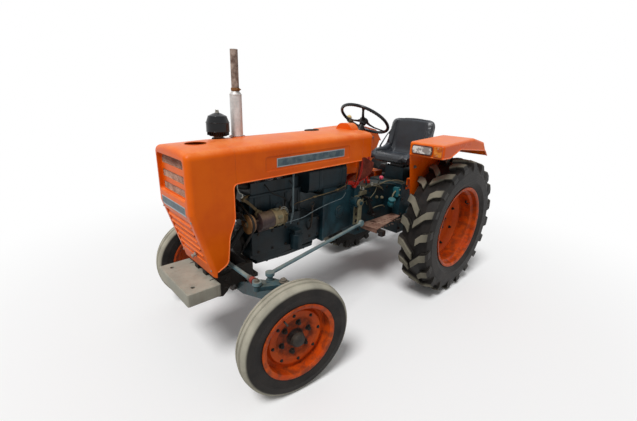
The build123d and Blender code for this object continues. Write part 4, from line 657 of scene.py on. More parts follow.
def softLine(points, radius, steps=5):
    # A run of points with its corners rounded
    points = [Vector(p) for p in points]
    line = [points[0]]
    for before, corner, after in zip(points, points[1:], points[2:]):
        inward = (before - corner)
        outward = (after - corner)
        reach = min(radius, inward.length * 0.45, outward.length * 0.45)
        start = corner + inward.normalized() * reach
        stop = corner + outward.normalized() * reach
        for k in range(steps + 1):
            t = k / steps
            line.append(start * (1 - t) ** 2 + corner * 2 * t * (1 - t) + stop * t * t)
    line.append(points[-1])
    return line


def addRun(form, run):
    # One pipe, wire or hose from a table, its points as (x, distance, height)
    points = [(x, back(d), z) for x, d, z in run["points"]]
    addTube(form, softLine(points, run["corner"], run["steps"]), run["radius"], run["sides"])


def addPlate(form, outline, depth, spot):
    # A flat outline in the local plane, given a thickness along local z
    low = [form.verts.new(spot @ Vector((x, y, 0))) for x, y in outline]
    high = [form.verts.new(spot @ Vector((x, y, depth))) for x, y in outline]
    form.faces.new(low[::-1])
    form.faces.new(high)
    for k in range(len(outline)):
        n = (k + 1) % len(outline)
        form.faces.new((low[k], low[n], high[n], high[k]))


def addBolt(form, place, axis, across=0.013, height=0.006, washer=True, shank=0.0):
    # Hexagon head with a chamfered top, on a washer
    start = 0.0
    if washer:
        addLathe(form, place, axis, [(-0.001, 0), (-0.001, across * 0.78), (0.0014, across * 0.78), (0.0014, 0)], 16)
        start = 0.0014
    flat = across / math.sqrt(3)
    crown = [(start, 0), (start, flat), (start + height * 0.85, flat), (start + height, flat * 0.86)]
    crown.append((start + height, 0))
    addLathe(form, place, axis, crown, 6)
    if shank:
        top = start + height + shank
        addLathe(
            form, place, axis,
            [(start, across * 0.3), (top, across * 0.3), (top + 0.001, across * 0.2), (top + 0.001, 0)], 10
        )


def addBoltRing(form, centre, axis, radius, count, across, height, first=0.0, shank=0.0):
    spot = aim(centre, axis)
    for k in range(count):
        turn = first + 2 * math.pi * k / count
        place = spot @ Vector((radius * math.cos(turn), radius * math.sin(turn), 0))
        addBolt(form, place, axis, across, height, True, shank)


def addHoop(form, place, axis, radius, thickness, count=40, segments=8):
    spot = aim(place, axis)
    turns = [2 * math.pi * k / count for k in range(count)]
    addTube(
        form, [spot @ Vector((radius * math.cos(t), radius * math.sin(t), 0)) for t in turns], thickness, segments,
        True
    )


def makePiece(name, form, finish, body="chassis", bevel=0.0, sharp=35.0):
    # Turns the collected forms into a piece that rides on a body
    bmesh.ops.recalc_face_normals(form, faces=form.faces)
    mesh = bpy.data.meshes.new(name)
    form.to_mesh(mesh)
    form.free()
    mesh.shade_smooth()
    mesh.set_sharp_from_angle(angle=math.radians(sharp))
    piece = bpy.data.objects.new(name, mesh)
    bpy.context.scene.collection.objects.link(piece)
    mesh.materials.append(paints[finish])
    if bevel:
        softened = piece.modifiers.new("soften", "BEVEL")
        softened.width = bevel
        softened.segments = 2
        softened.limit_method = "ANGLE"
        softened.angle_limit = math.radians(40)
    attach(piece, body)
    return piece


# Rolled lips along the sheet metal, and the beads round its openings
lips = dict(
    radius=0.0034, x=0.1992, hoodRear=(0.862, 1.072), hoodFront=(-0.116, 1.0466), kneeTop=(-0.116, 0.86),
    kneeLow=(-0.152, 0.77), foot=(-0.167, 0.624), toe=(-0.231, 0.5925),
    grommet=[(0, 0.026), (0, 0.0365), (0.006, 0.0365), (0.0085, 0.031), (0.0085, 0.0255)],
)


def makeLips():
    form = bmesh.new()
    for side in (1, -1):
        x = side * lips["x"]
        corner = [(x, back(d), z) for d, z in (lips[k] for k in ("hoodRear", "hoodFront", "kneeTop"))]
        line = softLine(corner, 0.028, 8)[:-1]
        knee = [(x, back(d), z) for d, z in (lips[k] for k in ("hoodFront", "kneeTop", "kneeLow", "foot", "toe"))]
        line += softLine(knee, 0.026, 6)[1:]
        addTube(form, line, lips["radius"], 8)
    # The lips wear the lighter orange as a painted highlight
    makePiece("sheetLips", form, "paintedLipHighlight")
    form = bmesh.new()
    addHoop(form, (0, back(-0.209), 1.2322), (0, -0.03, 1), 0.0565, 0.0026, 48)
    addHoop(form, (-0.115, back(0.095), 1.2415), (0, -0.025, 1), 0.0445, 0.0024, 40)
    makePiece("openingBeads", form, "bodyEnamel")
    form = bmesh.new()
    addLathe(form, (-0.115, back(-0.024), 1.232), (0, 0, 1), lips["grommet"], 32)
    makePiece("cleanerGrommet", form, "hoseRubber")


makeLips()

# Blank plates: one in each side recess of the hood and a band across the nose
plates = dict(sideFront=0.151, sideRear=0.683, sideMiddle=0.0738, sideHeight=0.05, frame=0.0055, bandHalf=0.150)


def hoodEdge(distance):
    return 1.047 + (distance + 0.101) / 0.963 * 0.025


def makePlates():
    pale, blue = bmesh.new(), bmesh.new()
    for side in (1, -1):
        for form, grow, depth in ((pale, 0.0, 0.0016), (blue, -plates["frame"], 0.0022)):
            half = plates["sideHeight"] / 2 + grow
            front, rear = plates["sideFront"] - grow, plates["sideRear"] + grow
            low = [
                (front, hoodEdge(front) + plates["sideMiddle"] - half),
                (rear, hoodEdge(rear) + plates["sideMiddle"] - half)
            ]
            high = [
                (rear, hoodEdge(rear) + plates["sideMiddle"] + half),
                (front, hoodEdge(front) + plates["sideMiddle"] + half)
            ]
            spot = Matrix(((0, 0, side, side * 0.1973), (1, 0, 0, 0), (0, 1, 0, 0), (0, 0, 0, 1)))
            addPlate(form, [(back(d), z) for d, z in low + high], depth, spot)
    # The band folds over the kink of the nose
    kink, drop = 0.922, 0.106 / 0.363
    profile = [(0.956, 0.0), (kink, 0.0), (0.906, 0.016 * drop)]
    for form, grow, depth in ((pale, 0.0, 0.0018), (blue, 0.0045, 0.0025)):
        for (z1, d1), (z2, d2) in zip(profile, profile[1:]):
            z1, z2 = z1 - grow * (z1 == 0.956), z2 + grow * (z2 == 0.906)
            corners = [(-1, z1, d1), (1, z1, d1), (1, z2, d2), (-1, z2, d2)]
            outer = [
                form.verts.new((s * (plates["bandHalf"] - grow), back(-0.350 + d) - depth, z)) for s, z, d in corners
            ]
            inner = [
                form.verts.new((s * (plates["bandHalf"] - grow), back(-0.350 + d) + 0.0005, z)) for s, z, d in corners
            ]
            form.faces.new(outer)
            for k in range(4):
                form.faces.new((outer[k], outer[(k + 1) % 4], inner[(k + 1) % 4], inner[k]))
    makePiece("plateFrames", pale, "platePale", bevel=0.0004)
    makePiece("plateFields", blue, "plateBlue")


makePlates()

# Wire mesh behind the grille openings, in place of the flat sheet
mesh = dict(half=0.163, low=0.983, high=1.181, pitch=0.0172, wire=0.0017, depth=0.0245)


def clippedWire(offset, slope):
    # The part of one slanting wire that lies inside the panel: z = low + slope * x + offset
    ends = []
    for x in (-mesh["half"], mesh["half"]):
        z = slope * x + offset
        if mesh["low"] <= z <= mesh["high"]:
            ends.append((x, z))
    for z in (mesh["low"], mesh["high"]):
        x = (z - offset) / slope
        if -mesh["half"] < x < mesh["half"]:
            ends.append((x, z))
    return ends[:2] if len(ends) > 1 else None


def makeWireMesh():
    form = bmesh.new()
    middle = (mesh["low"] + mesh["high"]) / 2
    reach = mesh["half"] + (mesh["high"] - mesh["low"]) / 2
    count = int(reach / mesh["pitch"])
    for row in (1, -1):
        for k in range(-count, count + 1):
            ends = clippedWire(middle + k * mesh["pitch"], row)
            if ends is None or math.dist(*ends) < 0.004:
                continue
            y = back(-0.350 + mesh["depth"]) + row * mesh["wire"] * 0.9
            addTube(form, [(x, y, z) for x, z in ends], mesh["wire"], 5)
    edge = [(-1, mesh["low"]), (1, mesh["low"]), (1, mesh["high"]), (-1, mesh["high"])]
    addTube(form, [(s * mesh["half"], back(-0.350 + mesh["depth"]), z) for s, z in edge], 0.0022, 6, True)
    piece = makePiece("grilleWire", form, "wireMesh")
    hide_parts("grille_mesh")


makeWireMesh()

# Small fittings on the nose: the catch on the slope, its hinge screws and the radiator's cap
fittings = dict(
    catchX=0.017, catchZ=0.640, capZ=1.206, capBack=-0.200,
    catch=[
        (-0.001, 0), (-0.001, 0.014), (0.002, 0.014), (0.0035, 0.0085), (0.010, 0.0085), (0.0125, 0.0105),
        (0.019, 0.0105), (0.0215, 0.008), (0.0225, 0)
    ],
    hingeScrew=[(-0.001, 0), (-0.001, 0.006), (0.0015, 0.006), (0.0032, 0.0035), (0.0036, 0)],
    cap=[
        (-0.018, 0.0335), (-0.016, 0.0345), (-0.004, 0.0345), (-0.001, 0.032), (0.0, 0.026), (0.004, 0.022),
        (0.005, 0.012), (0.009, 0.010), (0.010, 0)
    ],
)


def noseSlope(z):
    # Place along the tractor of the sloping front at a height
    return back(-0.350 + max(0.922 - z, 0) * 0.106 / 0.363)


def makeNoseFittings():
    normal = Vector((0, -math.cos(math.radians(16.28)), -math.sin(math.radians(16.28))))
    form = bmesh.new()
    place = Vector((fittings["catchX"], noseSlope(fittings["catchZ"]), fittings["catchZ"]))
    addLathe(form, place, normal, fittings["catch"], 24)
    for x in (-0.176, 0.176):
        for z in (0.60, 0.885):
            addLathe(form, (x, noseSlope(z), z), normal, fittings["hingeScrew"], 12)
    makePiece("noseCatch", form, "boltZinc")
    form = bmesh.new()
    top = (0, back(fittings["capBack"]), fittings["capZ"])
    addLathe(form, top, (0, 0, 1), fittings["cap"], 36)
    for side in (1, -1):
        addBlock(form, (side * 0.038, top[1], fittings["capZ"] - 0.010), (0.014, 0.020, 0.004))
    makePiece("radiatorCap", form, "brassWorn", bevel=0.0006)


makeNoseFittings()
print("nose and hood trim made")

# Pre-cleaner: louvred skirt, clamp band and the wing nut on its dome
cleaner = dict(
    x=-0.115, distance=-0.024, vanes=28,
    collar=[(0, 0.0242), (0, 0.0262), (0.010, 0.0262), (0.010, 0.0242)],
)


def makeCleanerTrim():
    centre = (cleaner["x"], back(cleaner["distance"]), 0)
    form = bmesh.new()
    for k in range(cleaner["vanes"]):
        turn = 2 * math.pi * k / cleaner["vanes"]
        place = (centre[0] + 0.0545 * math.cos(turn), centre[1] + 0.0545 * math.sin(turn), 1.2655)
        addBlock(form, place, (0.011, 0.0016, 0.021), (0, 0, math.degrees(turn) + 28))
    addHoop(form, (centre[0], centre[1], 1.3225), (0, 0, 1), 0.0632, 0.0018, 48, 6)
    addHoop(form, (centre[0], centre[1], 1.2755), (0, 0, 1), 0.0632, 0.0018, 48, 6)
    makePiece("cleanerVanes", form, "glossBlack")
    form = bmesh.new()
    addBolt(form, (centre[0], centre[1], 1.3735), (0, 0, 1), 0.018, 0.007, True, 0.006)
    for side in (1, -1):
        addBlock(form, (centre[0] + side * 0.011, centre[1], 1.384), (0.013, 0.0035, 0.010), (0, side * -20, 0))
    addLathe(form, (centre[0], centre[1], 1.243), (0, 0, 1), cleaner["collar"], 32)
    addBolt(form, (centre[0] + 0.027, centre[1] - 0.012, 1.248), (0, -1, 0), 0.007, 0.004, False, 0.004)
    makePiece("cleanerBand", form, "boltZinc")


makeCleanerTrim()

# Exhaust stack: seams of the muffler, its clamp and the flange on the head
stack = dict(
    x=-0.115, distance=0.095,
    clamp=[(0, 0.0212), (0, 0.0245), (0.016, 0.0245), (0.016, 0.0212)],
)


def makeStackTrim():
    x, y = stack["x"], back(stack["distance"])
    form = bmesh.new()
    for z, radius in ((1.2475, 0.0338), (1.4715, 0.0338)):
        addHoop(form, (x, y, z), (0, 0, 1), radius, 0.0014, 40, 6)
    addTube(form, [(x + 0.0334, y, 1.25), (x + 0.0334, y, 1.47)], 0.0012, 6)
    makePiece("stackSeams", form, "stackPaint")
    form = bmesh.new()
    addLathe(form, (x, y, 1.4915), (0, 0, 1), stack["clamp"], 36)
    for side in (1, -1):
        addBlock(form, (x + 0.0295, y + side * 0.0045, 1.4995), (0.013, 0.003, 0.015))
    addBolt(form, (x + 0.031, y - 0.006, 1.4995), (0, -1, 0), 0.009, 0.005, True)
    addBolt(form, (x + 0.031, y + 0.006, 1.4995), (0, 1, 0), 0.009, 0.005, True, 0.004)
    makePiece("stackClamp", form, "rustySteel")
    form = bmesh.new()
    for dx in (-0.018, 0.07):
        for dy in (-0.017, 0.017):
            if dx > 0:
                addBolt(form, (x + dx, y + dy, 1.0322), (0, 0, 1), 0.013, 0.008, True, 0.006)
    makePiece("stackFlangeNuts", form, "boltZinc")


makeStackTrim()
print("stack and pre-cleaner trim made")

# Steering wheel: thin rim with finger grips below, three dished spokes, a cap and a clamped-on knob
wheel = dict(
    hub=(0, 1.095, 1.323), lean=33.5, rim=0.185, tube=0.0115, grips=56, spokes=(60, 180, 300), knobTurn=172,
    spokeShape=[
        (0.012, -0.012, 0.020, 0.006), (0.030, -0.010, 0.0185, 0.0055), (0.055, -0.014, 0.0125, 0.0045),
        (0.095, -0.013, 0.0095, 0.004), (0.140, -0.004, 0.0085, 0.0038), (0.172, 0.002, 0.011, 0.0045),
        (0.183, 0.003, 0.012, 0.005)
    ],
    hubShape=[
        (-0.040, 0.0115), (-0.040, 0.022), (-0.036, 0.024), (-0.024, 0.025), (-0.018, 0.031), (-0.006, 0.034),
        (0.0, 0.033), (0.0, 0.0)
    ],
    capShape=[
        (-0.001, 0.0), (-0.001, 0.0285), (0.003, 0.0285), (0.006, 0.026), (0.0075, 0.020), (0.0068, 0.0185),
        (0.0068, 0.009), (0.008, 0.006), (0.008, 0)
    ],
    knobShape=[
        (-0.002, 0.0), (-0.002, 0.006), (0.002, 0.0075), (0.005, 0.0125), (0.011, 0.0185), (0.019, 0.0205),
        (0.026, 0.0185), (0.032, 0.012), (0.0345, 0.005), (0.035, 0)
    ],
    clampShape=[(0, 0.0118), (0, 0.0155), (0.003, 0.0165), (0.041, 0.0165), (0.044, 0.0155), (0.044, 0.0118)],
    knobFoot=[(0.006, 0.010), (0.012, 0.009), (0.016, 0.007), (0.018, 0)],
)


def wheelSpot():
    lean = math.radians(wheel["lean"])
    x, y = Vector((1, 0, 0)), Vector((0, math.cos(lean), -math.sin(lean)))
    z = Vector((0, math.sin(lean), math.cos(lean)))
    hub = Vector((wheel["hub"][0], back(wheel["hub"][1]), wheel["hub"][2]))
    return Matrix.Translation(hub) @ Matrix((x, y, z)).transposed().to_4x4()


def addRib(form, spot, stations):
    # A spoke through stations (radius, height, half width, half thickness), with rounded edges
    rings = []
    for radius, height, half, thick in stations:
        corners = [(-1, -0.35), (-0.8, -1), (0.8, -1), (1, -0.35), (1, 0.35), (0.45, 1), (-0.45, 1), (-1, 0.35)]
        rings.append([form.verts.new(spot @ Vector((radius, a * half, height + b * thick))) for a, b in corners])
    for first, second in zip(rings, rings[1:]):
        for k in range(8):
            n = (k + 1) % 8
            form.faces.new((first[k], first[n], second[n], second[k]))
    form.faces.new(rings[0][::-1])
    form.faces.new(rings[-1])


def makeSteeringWheel():
    spot = wheelSpot()
    form = bmesh.new()
    rings = []
    count, around = 224, 14
    for k in range(count):
        turn = 2 * math.pi * k / count
        wave = 0.5 + 0.5 * math.cos(turn * wheel["grips"])
        ring = []
        for s in range(around):
            lap = 2 * math.pi * s / around
            under = max(0.0, -math.sin(lap) - 0.1)
            reach = wheel["tube"] * (1 - 0.16 * under * wave)
            radius = wheel["rim"] + reach * math.cos(lap)
            ring.append(
                form.verts.new(
                    spot @ Vector((radius * math.cos(turn), radius * math.sin(turn), 0.004 + reach * math.sin(lap)))
                )
            )
        rings.append(ring)
    for k in range(count):
        first, second = rings[k], rings[(k + 1) % count]
        for s in range(around):
            n = (s + 1) % around
            form.faces.new((first[s], first[n], second[n], second[s]))
    rim = makePiece("steeringRim", form, "glossBlack", "steering_wheel", sharp=60)
    form = bmesh.new()
    for turn in wheel["spokes"]:
        addRib(form, spot @ Matrix.Rotation(math.radians(turn), 4, "Z"), wheel["spokeShape"])
    addLathe(form, spot.translation, spot.col[2].to_3d(), wheel["hubShape"], 36)
    makePiece("steeringSpokes", form, "columnBlack", "steering_wheel", bevel=0.001)
    form = bmesh.new()
    addLathe(form, spot.translation, spot.col[2].to_3d(), wheel["capShape"], 36)
    makePiece("steeringCap", form, "glossBlack", "steering_wheel")
    # The knob on its post, and the clamp that holds it to the rim
    turn = math.radians(wheel["knobTurn"])
    seatPoint = Vector((wheel["rim"] * math.cos(turn), wheel["rim"] * math.sin(turn), 0.004))
    form = bmesh.new()
    addLathe(form, spot @ seatPoint, spot.col[2].to_3d(), wheel["knobShape"], 28)
    makePiece("steeringKnob", form, "knobCream", "steering_wheel")
    form = bmesh.new()
    clampTurn = turn - math.radians(7)
    clampPoint = Vector((wheel["rim"] * math.cos(clampTurn), wheel["rim"] * math.sin(clampTurn), 0.004))
    along = Vector((-math.sin(clampTurn), math.cos(clampTurn), 0))
    start = spot @ (clampPoint - along * 0.022)
    addLathe(form, start, spot.to_3x3() @ along, wheel["clampShape"], 20)
    addBlock(
        form, spot @ (clampPoint * 0.90 + Vector((0, 0, 0.002))), (0.020, 0.020, 0.012),
        (-wheel["lean"], 0, wheel["knobTurn"] - 187)
    )
    addBolt(form, spot @ (clampPoint * 0.90 + Vector((0, 0, 0.008))), spot.col[2].to_3d(), 0.010, 0.005)
    addLathe(form, spot @ seatPoint, spot.col[2].to_3d(), wheel["knobFoot"], 16)
    makePiece("steeringClamp", form, "castDusty", "steering_wheel", bevel=0.0012)
    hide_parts("steering_wheel")


makeSteeringWheel()

# Lamps: the bezel and the lens of each node are told apart by their place along the tractor
def makeLamp(name, split, rim, first, second, spot, flutes):
    material, tree, shader = startMaterial(name)
    place, along = objectPlace(tree)
    isLens = spread(tree, along["Y"], split + 0.0006, split - 0.0006)
    tone = useGroup(tree, mottle, Scale=18.0, Streaks=0.15)
    wear = useGroup(tree, edgeWear, Radius=0.0025, Amount=0.1)
    # The lens is mottled between a darker and a lighter colour: a painted reflection of the reflector behind the glass;
    # the amber of the marker lamps is their glass's own colour
    paintedReflection = noiseOf(tree, place, spot, 2.0)
    lens = blendColour(tree, spread(tree, paintedReflection, 0.42, 0.6), first, second)
    metal = blendColour(tree, spread(tree, tone.outputs["Shade"], 0.35, 0.65), rim[0], rim[1])
    metal = blendColour(tree, wear.outputs["Mask"], metal, rim[1])
    plug(tree, blendColour(tree, isLens, metal, lens), shader.inputs["Base Color"])
    plug(tree, spread(tree, isLens, 0.0, 1.0, 0.45, 0.14), shader.inputs["Roughness"])
    plug(tree, spread(tree, isLens, 0.0, 1.0, 0.0, 0.8), shader.inputs["Coat Weight"])
    shader.inputs["Coat Roughness"].default_value = 0.05
    wave = addNode(tree, "ShaderNodeTexWave", wave_type="BANDS", bands_direction="X")
    plug(tree, place, wave.inputs["Vector"])
    wave.inputs["Scale"].default_value = flutes
    ribs = calc(tree, "MULTIPLY", wave.outputs["Fac"], isLens)
    plug(tree, bumpFrom(tree, ribs, 0.35, 0.0015, wear.outputs["Normal"]), shader.inputs["Normal"])
    return material


lampFace = 1.140
# The headlamps' grey and near-white lens colours are a painted reflection; the markers' ambers are their glass's
# colour, mottled the same way
paints["headlampGlass"] = makeLamp(
    "headlampGlass", back(lampFace - 0.0098), (tint(70, 34, 24), tint(112, 62, 44)), tint(150, 146, 142),
    tint(244, 242, 236), 26.0, 60.0
)
paints["markerGlass"] = makeLamp(
    "markerGlass", back(lampFace - 0.0056), (tint(176, 62, 10), tint(206, 92, 26)), tint(196, 88, 8),
    tint(238, 142, 40), 34.0, 90.0
)
for name, finish in (("headlamps", "headlampGlass"), ("marker_lamps", "markerGlass")):
    repaint(nodes[name], paints[finish])

# Inner and outer faces of the fenders, and the screws of the lamps beside them
fender = dict(
    inner=0.388, outer=0.638,
    lampScrew=[(-0.001, 0), (-0.001, 0.0042), (0.0012, 0.0042), (0.0026, 0.002), (0.0026, 0)],
    markerScrew=[(-0.001, 0), (-0.001, 0.0034), (0.001, 0.0034), (0.002, 0.0016), (0.002, 0)],
)


def makeLampScrews():
    form = bmesh.new()
    for side in (1, -1):
        for dx in (-0.0705, 0.0705):
            addLathe(form, (side * 0.484 + dx, back(lampFace - 0.0088), 1.158), (0, -1, 0), fender["lampScrew"], 12)
        for dz in (-0.029, 0.029):
            addLathe(
                form, (side * 0.600, back(lampFace - 0.0105), 1.158 + dz * 0.75), (0, -1, 0),
                fender["markerScrew"], 12
            )
    makePiece("lampScrews", form, "boltZinc")


makeLampScrews()
print("steering wheel and lamps made")

# Red linkage under the hood's rear corner, with the plate that carries it
linkage = dict(
    x=0.118, top=(0.962, 1.088), bend=(0.958, 0.965), low=(0.910, 0.892), block=(0.862, 0.897),
    plate=[
        (0.944, 1.062), (0.992, 1.070), (1.106, 1.018), (1.100, 0.962), (1.082, 0.938), (0.956, 0.892), (0.924, 0.894)
    ],
    foot=[(0, 0), (0, 0.013), (0.026, 0.013), (0.028, 0.011), (0.028, 0)],
)


def sidePlate(form, outline, x, depth):
    # A plate square to X from points (distance, height)
    spot = Matrix(((0, 0, 1, x), (1, 0, 0, 0), (0, 1, 0, 0), (0, 0, 0, 1)))
    addPlate(form, [(back(d), z) for d, z in outline], depth, spot)


def makeLinkage():
    form = bmesh.new()
    sidePlate(form, linkage["plate"], 0.1095, 0.0035)
    for d, z in ((0.962, 1.05), (1.085, 1.005), (1.075, 0.955), (0.935, 0.905)):
        addBolt(form, (0.113, back(d), z), (1, 0, 0), 0.011, 0.005)
    makePiece("linkagePlate", form, "plateBrown", bevel=0.0008)
    form = bmesh.new()
    x = linkage["x"]
    rod = [
        (x + 0.004, back(linkage["top"][0]), linkage["top"][1]),
        (x + 0.008, back(linkage["bend"][0]), linkage["bend"][1]),
        (x + 0.010, back(linkage["low"][0]), linkage["low"][1]),
        (x + 0.008, back(linkage["block"][0]), linkage["block"][1])
    ]
    addTube(form, softLine(rod, 0.03), 0.0055, 10)
    brace = [(x + 0.016, back(0.945), 1.052), (x + 0.018, back(0.925), 0.94), (x + 0.016, back(0.885), 0.872)]
    addTube(form, softLine(brace, 0.03), 0.0042, 10)
    for d, z in (linkage["top"], linkage["low"], (0.885, 0.872)):
        addLathe(form, (x - 0.008, back(d), z), (1, 0, 0), linkage["foot"], 20)
    addBlock(form, (x - 0.002, back(0.846), 0.901), (0.022, 0.058, 0.026), (-12, 0, 0))
    addBlock(form, (x - 0.004, back(0.900), 0.884), (0.020, 0.050, 0.018), (20, 0, 0))
    addTube(form, [(x, back(0.90), 0.866), (x, back(0.955), 0.898), (x, back(1.02), 0.912)], 0.0045, 8)
    for d in (0.832, 0.862):
        addBolt(form, (x + 0.009, back(d), 0.901), (1, 0, 0), 0.010, 0.005)
    makePiece("linkageRods", form, "leverRed", bevel=0.0012)
    # Feet that tie the red block to the top of the clutch housing
    form = bmesh.new()
    addBlock(form, (0.105, back(0.846), 0.871), (0.016, 0.030, 0.052))
    addBlock(form, (0.104, back(0.900), 0.864), (0.014, 0.024, 0.030))
    addTube(form, [(0.112, back(1.02), 0.913), (0.104, back(1.05), 0.86), (0.095, back(1.055), 0.828)], 0.006, 10)
    makePiece("linkageFeet", form, "chassisEnamel", bevel=0.0015)


makeLinkage()

# Fittings on the left of the gearbox: a square valve block, its oil cup, breather and pipes
gearFittings = dict(
    block=(0.108, 1.462, 0.741), cup=(0.150, 1.345, 0.668),
    cupShape=[
        (0, 0), (0, 0.026), (0.008, 0.030), (0.038, 0.030), (0.046, 0.025), (0.052, 0.025), (0.056, 0.031),
        (0.066, 0.031), (0.070, 0.024), (0.070, 0)
    ],
    knobShape=[(0, 0), (0, 0.007), (0.004, 0.012), (0.012, 0.0165), (0.021, 0.0155), (0.028, 0.009), (0.030, 0)],
)


# Pipes, wires and hoses as (x, distance, height)
gearRuns = dict(
    breather=dict(
        corner=0.03, steps=5, radius=0.005, sides=10,
        points=[
            (0.13, 1.5, 0.782), (0.135, 1.5, 0.815), (0.125, 1.42, 0.842), (0.1, 1.3, 0.845), (0.092, 1.22, 0.826)
        ]
    ),
)


def makeGearFittings():
    form = bmesh.new()
    x, d, z = gearFittings["block"]
    addBlock(form, (x + 0.012, back(d), z), (0.062, 0.112, 0.082))
    addBlock(form, (x + 0.044, back(d), z), (0.006, 0.090, 0.060))
    x, d, z = gearFittings["cup"]
    addLathe(form, (x - 0.012, back(d), z - 0.03), (0.25, -0.2, 1), gearFittings["cupShape"], 28)
    makePiece("valveBlock", form, "tealBright", bevel=0.003)
    form = bmesh.new()
    x, d, z = gearFittings["block"]
    for dd in (-0.036, 0.036):
        for dz in (-0.022, 0.022):
            addBolt(form, (x + 0.047, back(d + dd), z + dz), (1, 0, 0), 0.012, 0.006)
    pipe = [
        (x + 0.02, back(d - 0.05), z + 0.01), (x + 0.03, back(d - 0.10), z - 0.005),
        (x + 0.032, back(d - 0.117), z - 0.05)
    ]
    addTube(form, softLine(pipe, 0.03), 0.006, 10)
    addRun(form, gearRuns["breather"])
    makePiece("valvePipes", form, "castDusty", bevel=0.0008)
    form = bmesh.new()
    # Small pink-red knob on its own stem, beside the gear lever
    addTube(
        form, softLine([(0.085, back(1.215), 0.826), (0.10, back(1.208), 0.86), (0.118, back(1.205), 0.884)], 0.02),
        0.004, 8
    )
    makePiece("knobStem", form, "linkSteel")
    form = bmesh.new()
    addLathe(form, (0.1185, back(1.2045), 0.877), (0.2, -0.05, 1), gearFittings["knobShape"], 24)
    makePiece("pinkKnob", form, "knobPink")


makeGearFittings()
print("linkage and gearbox fittings made")

# Trim round the engine: wires, pipes, rods, the generator's strap and the dust on its joints
trim = dict(
    rodX=0.150, rodBack=0.303, strapThickness=0.006, generatorX=0.136, generatorZ=0.790,
    pipeClip=[(0, 0.0034), (0, 0.0062), (0.024, 0.0062), (0.024, 0.0034)],
    strap=[
        (-0.030, 0.943), (0.002, 0.925), (0.040, 0.889), (0.076, 0.850), (0.080, 0.838), (0.070, 0.832),
        (0.060, 0.842), (0.032, 0.876), (-0.006, 0.910), (-0.034, 0.928)
    ],
    lug=[(0.062, 0.862), (0.094, 0.845), (0.098, 0.815), (0.052, 0.815), (0.046, 0.838)],
    shaftNut=[(-0.002, 0), (-0.002, 0.014), (0.003, 0.0145), (0.006, 0.012), (0.010, 0.0105), (0.0115, 0)],
    shaftWasher=[(-0.002, 0.012), (-0.002, 0.019), (0.0015, 0.019), (0.0015, 0.012)],
    brushEnd=[
        (0.0, 0.046), (0.004, 0.0505), (0.010, 0.0505), (0.012, 0.046), (0.020, 0.046), (0.022, 0.0495),
        (0.028, 0.0495), (0.030, 0.044), (0.036, 0.041), (0.040, 0.030), (0.041, 0.014), (0.046, 0.013), (0.046, 0)
    ],
    terminal=[(-0.004, 0.007), (0.006, 0.007), (0.007, 0.0045), (0.012, 0.0045), (0.012, 0)],
    dipstickCap=[(0, 0), (0, 0.008), (0.008, 0.008), (0.010, 0.004), (0.010, 0)],
    panStations=[
        (0.060, 0.514, 0.060), (0.075, 0.492, 0.086), (0.300, 0.484, 0.090), (0.520, 0.490, 0.090),
        (0.540, 0.514, 0.070)
    ],
)


# Pipes, wires and hoses as (x, distance, height)
engineRuns = dict(
    longWire=dict(
        corner=0.05, steps=6, radius=0.0021, sides=8,
        points=[
            (0.128, 0.15, 0.758), (0.158, 0.185, 0.748), (0.162, 0.284, 0.75), (0.16, 0.381, 0.752),
            (0.158, 0.478, 0.78), (0.156, 0.614, 0.803), (0.15, 0.744, 0.812), (0.125, 0.8, 0.84)
        ]
    ),
    curl=dict(
        corner=0.03, steps=6, radius=0.0018, sides=8,
        points=[
            (0.14, 0.196, 0.812), (0.156, 0.214, 0.846), (0.16, 0.244, 0.838), (0.158, 0.252, 0.806),
            (0.15, 0.224, 0.792), (0.14, 0.198, 0.79)
        ]
    ),
    brushLead=dict(
        corner=0.03, steps=6, radius=0.0016, sides=8,
        points=[
            (0.134, 0.202, 0.826), (0.15, 0.236, 0.856), (0.158, 0.262, 0.826), (0.154, 0.254, 0.768),
            (0.13, 0.235, 0.742), (0.09, 0.245, 0.735)
        ]
    ),
    terminal=dict(
        corner=0.01, steps=5, radius=0.0055, sides=10,
        points=[(0.142, 0.15, 0.752), (0.168, 0.156, 0.757), (0.17, 0.19, 0.766)]
    ),
    hoodHook=dict(
        corner=0.008, steps=5, radius=0.003, sides=10,
        points=[
            (0.188, -0.09, 1.05), (0.182, -0.088, 1.02), (0.181, -0.078, 0.992), (0.181, -0.06, 0.983),
            (0.181, -0.056, 0.968), (0.18, -0.068, 0.962)
        ]
    ),
    fuelPipe=dict(
        corner=0.04, steps=6, radius=0.0026, sides=8,
        points=[
            (0.098, 0.335, 0.785), (0.112, 0.345, 0.838), (0.14, 0.372, 0.852), (0.145, 0.482, 0.866),
            (0.148, 0.585, 0.872), (0.148, 0.69, 0.88), (0.145, 0.79, 0.903), (0.12, 0.815, 0.925)
        ]
    ),
)


def makeWires():
    form = bmesh.new()
    # Light wire along the engine's left side
    addRun(form, engineRuns["longWire"])
    makePiece("engineWire", form, "wireGrey")
    form = bmesh.new()
    addRun(form, engineRuns["curl"])
    addRun(form, engineRuns["brushLead"])
    addRun(form, engineRuns["terminal"])
    addRun(form, engineRuns["hoodHook"])
    makePiece("brushWires", form, "wirePale")
    form = bmesh.new()
    # Brass-coloured fuel pipe above it, from the tank's tap to the pump
    addRun(form, engineRuns["fuelPipe"])
    for d, z in ((0.482, 0.866), (0.690, 0.880)):
        addLathe(form, (0.1465, back(d) - 0.012, z), (0, 1, 0.05), trim["pipeClip"], 12)
    makePiece("fuelPipe", form, "strapKhaki")


makeWires()


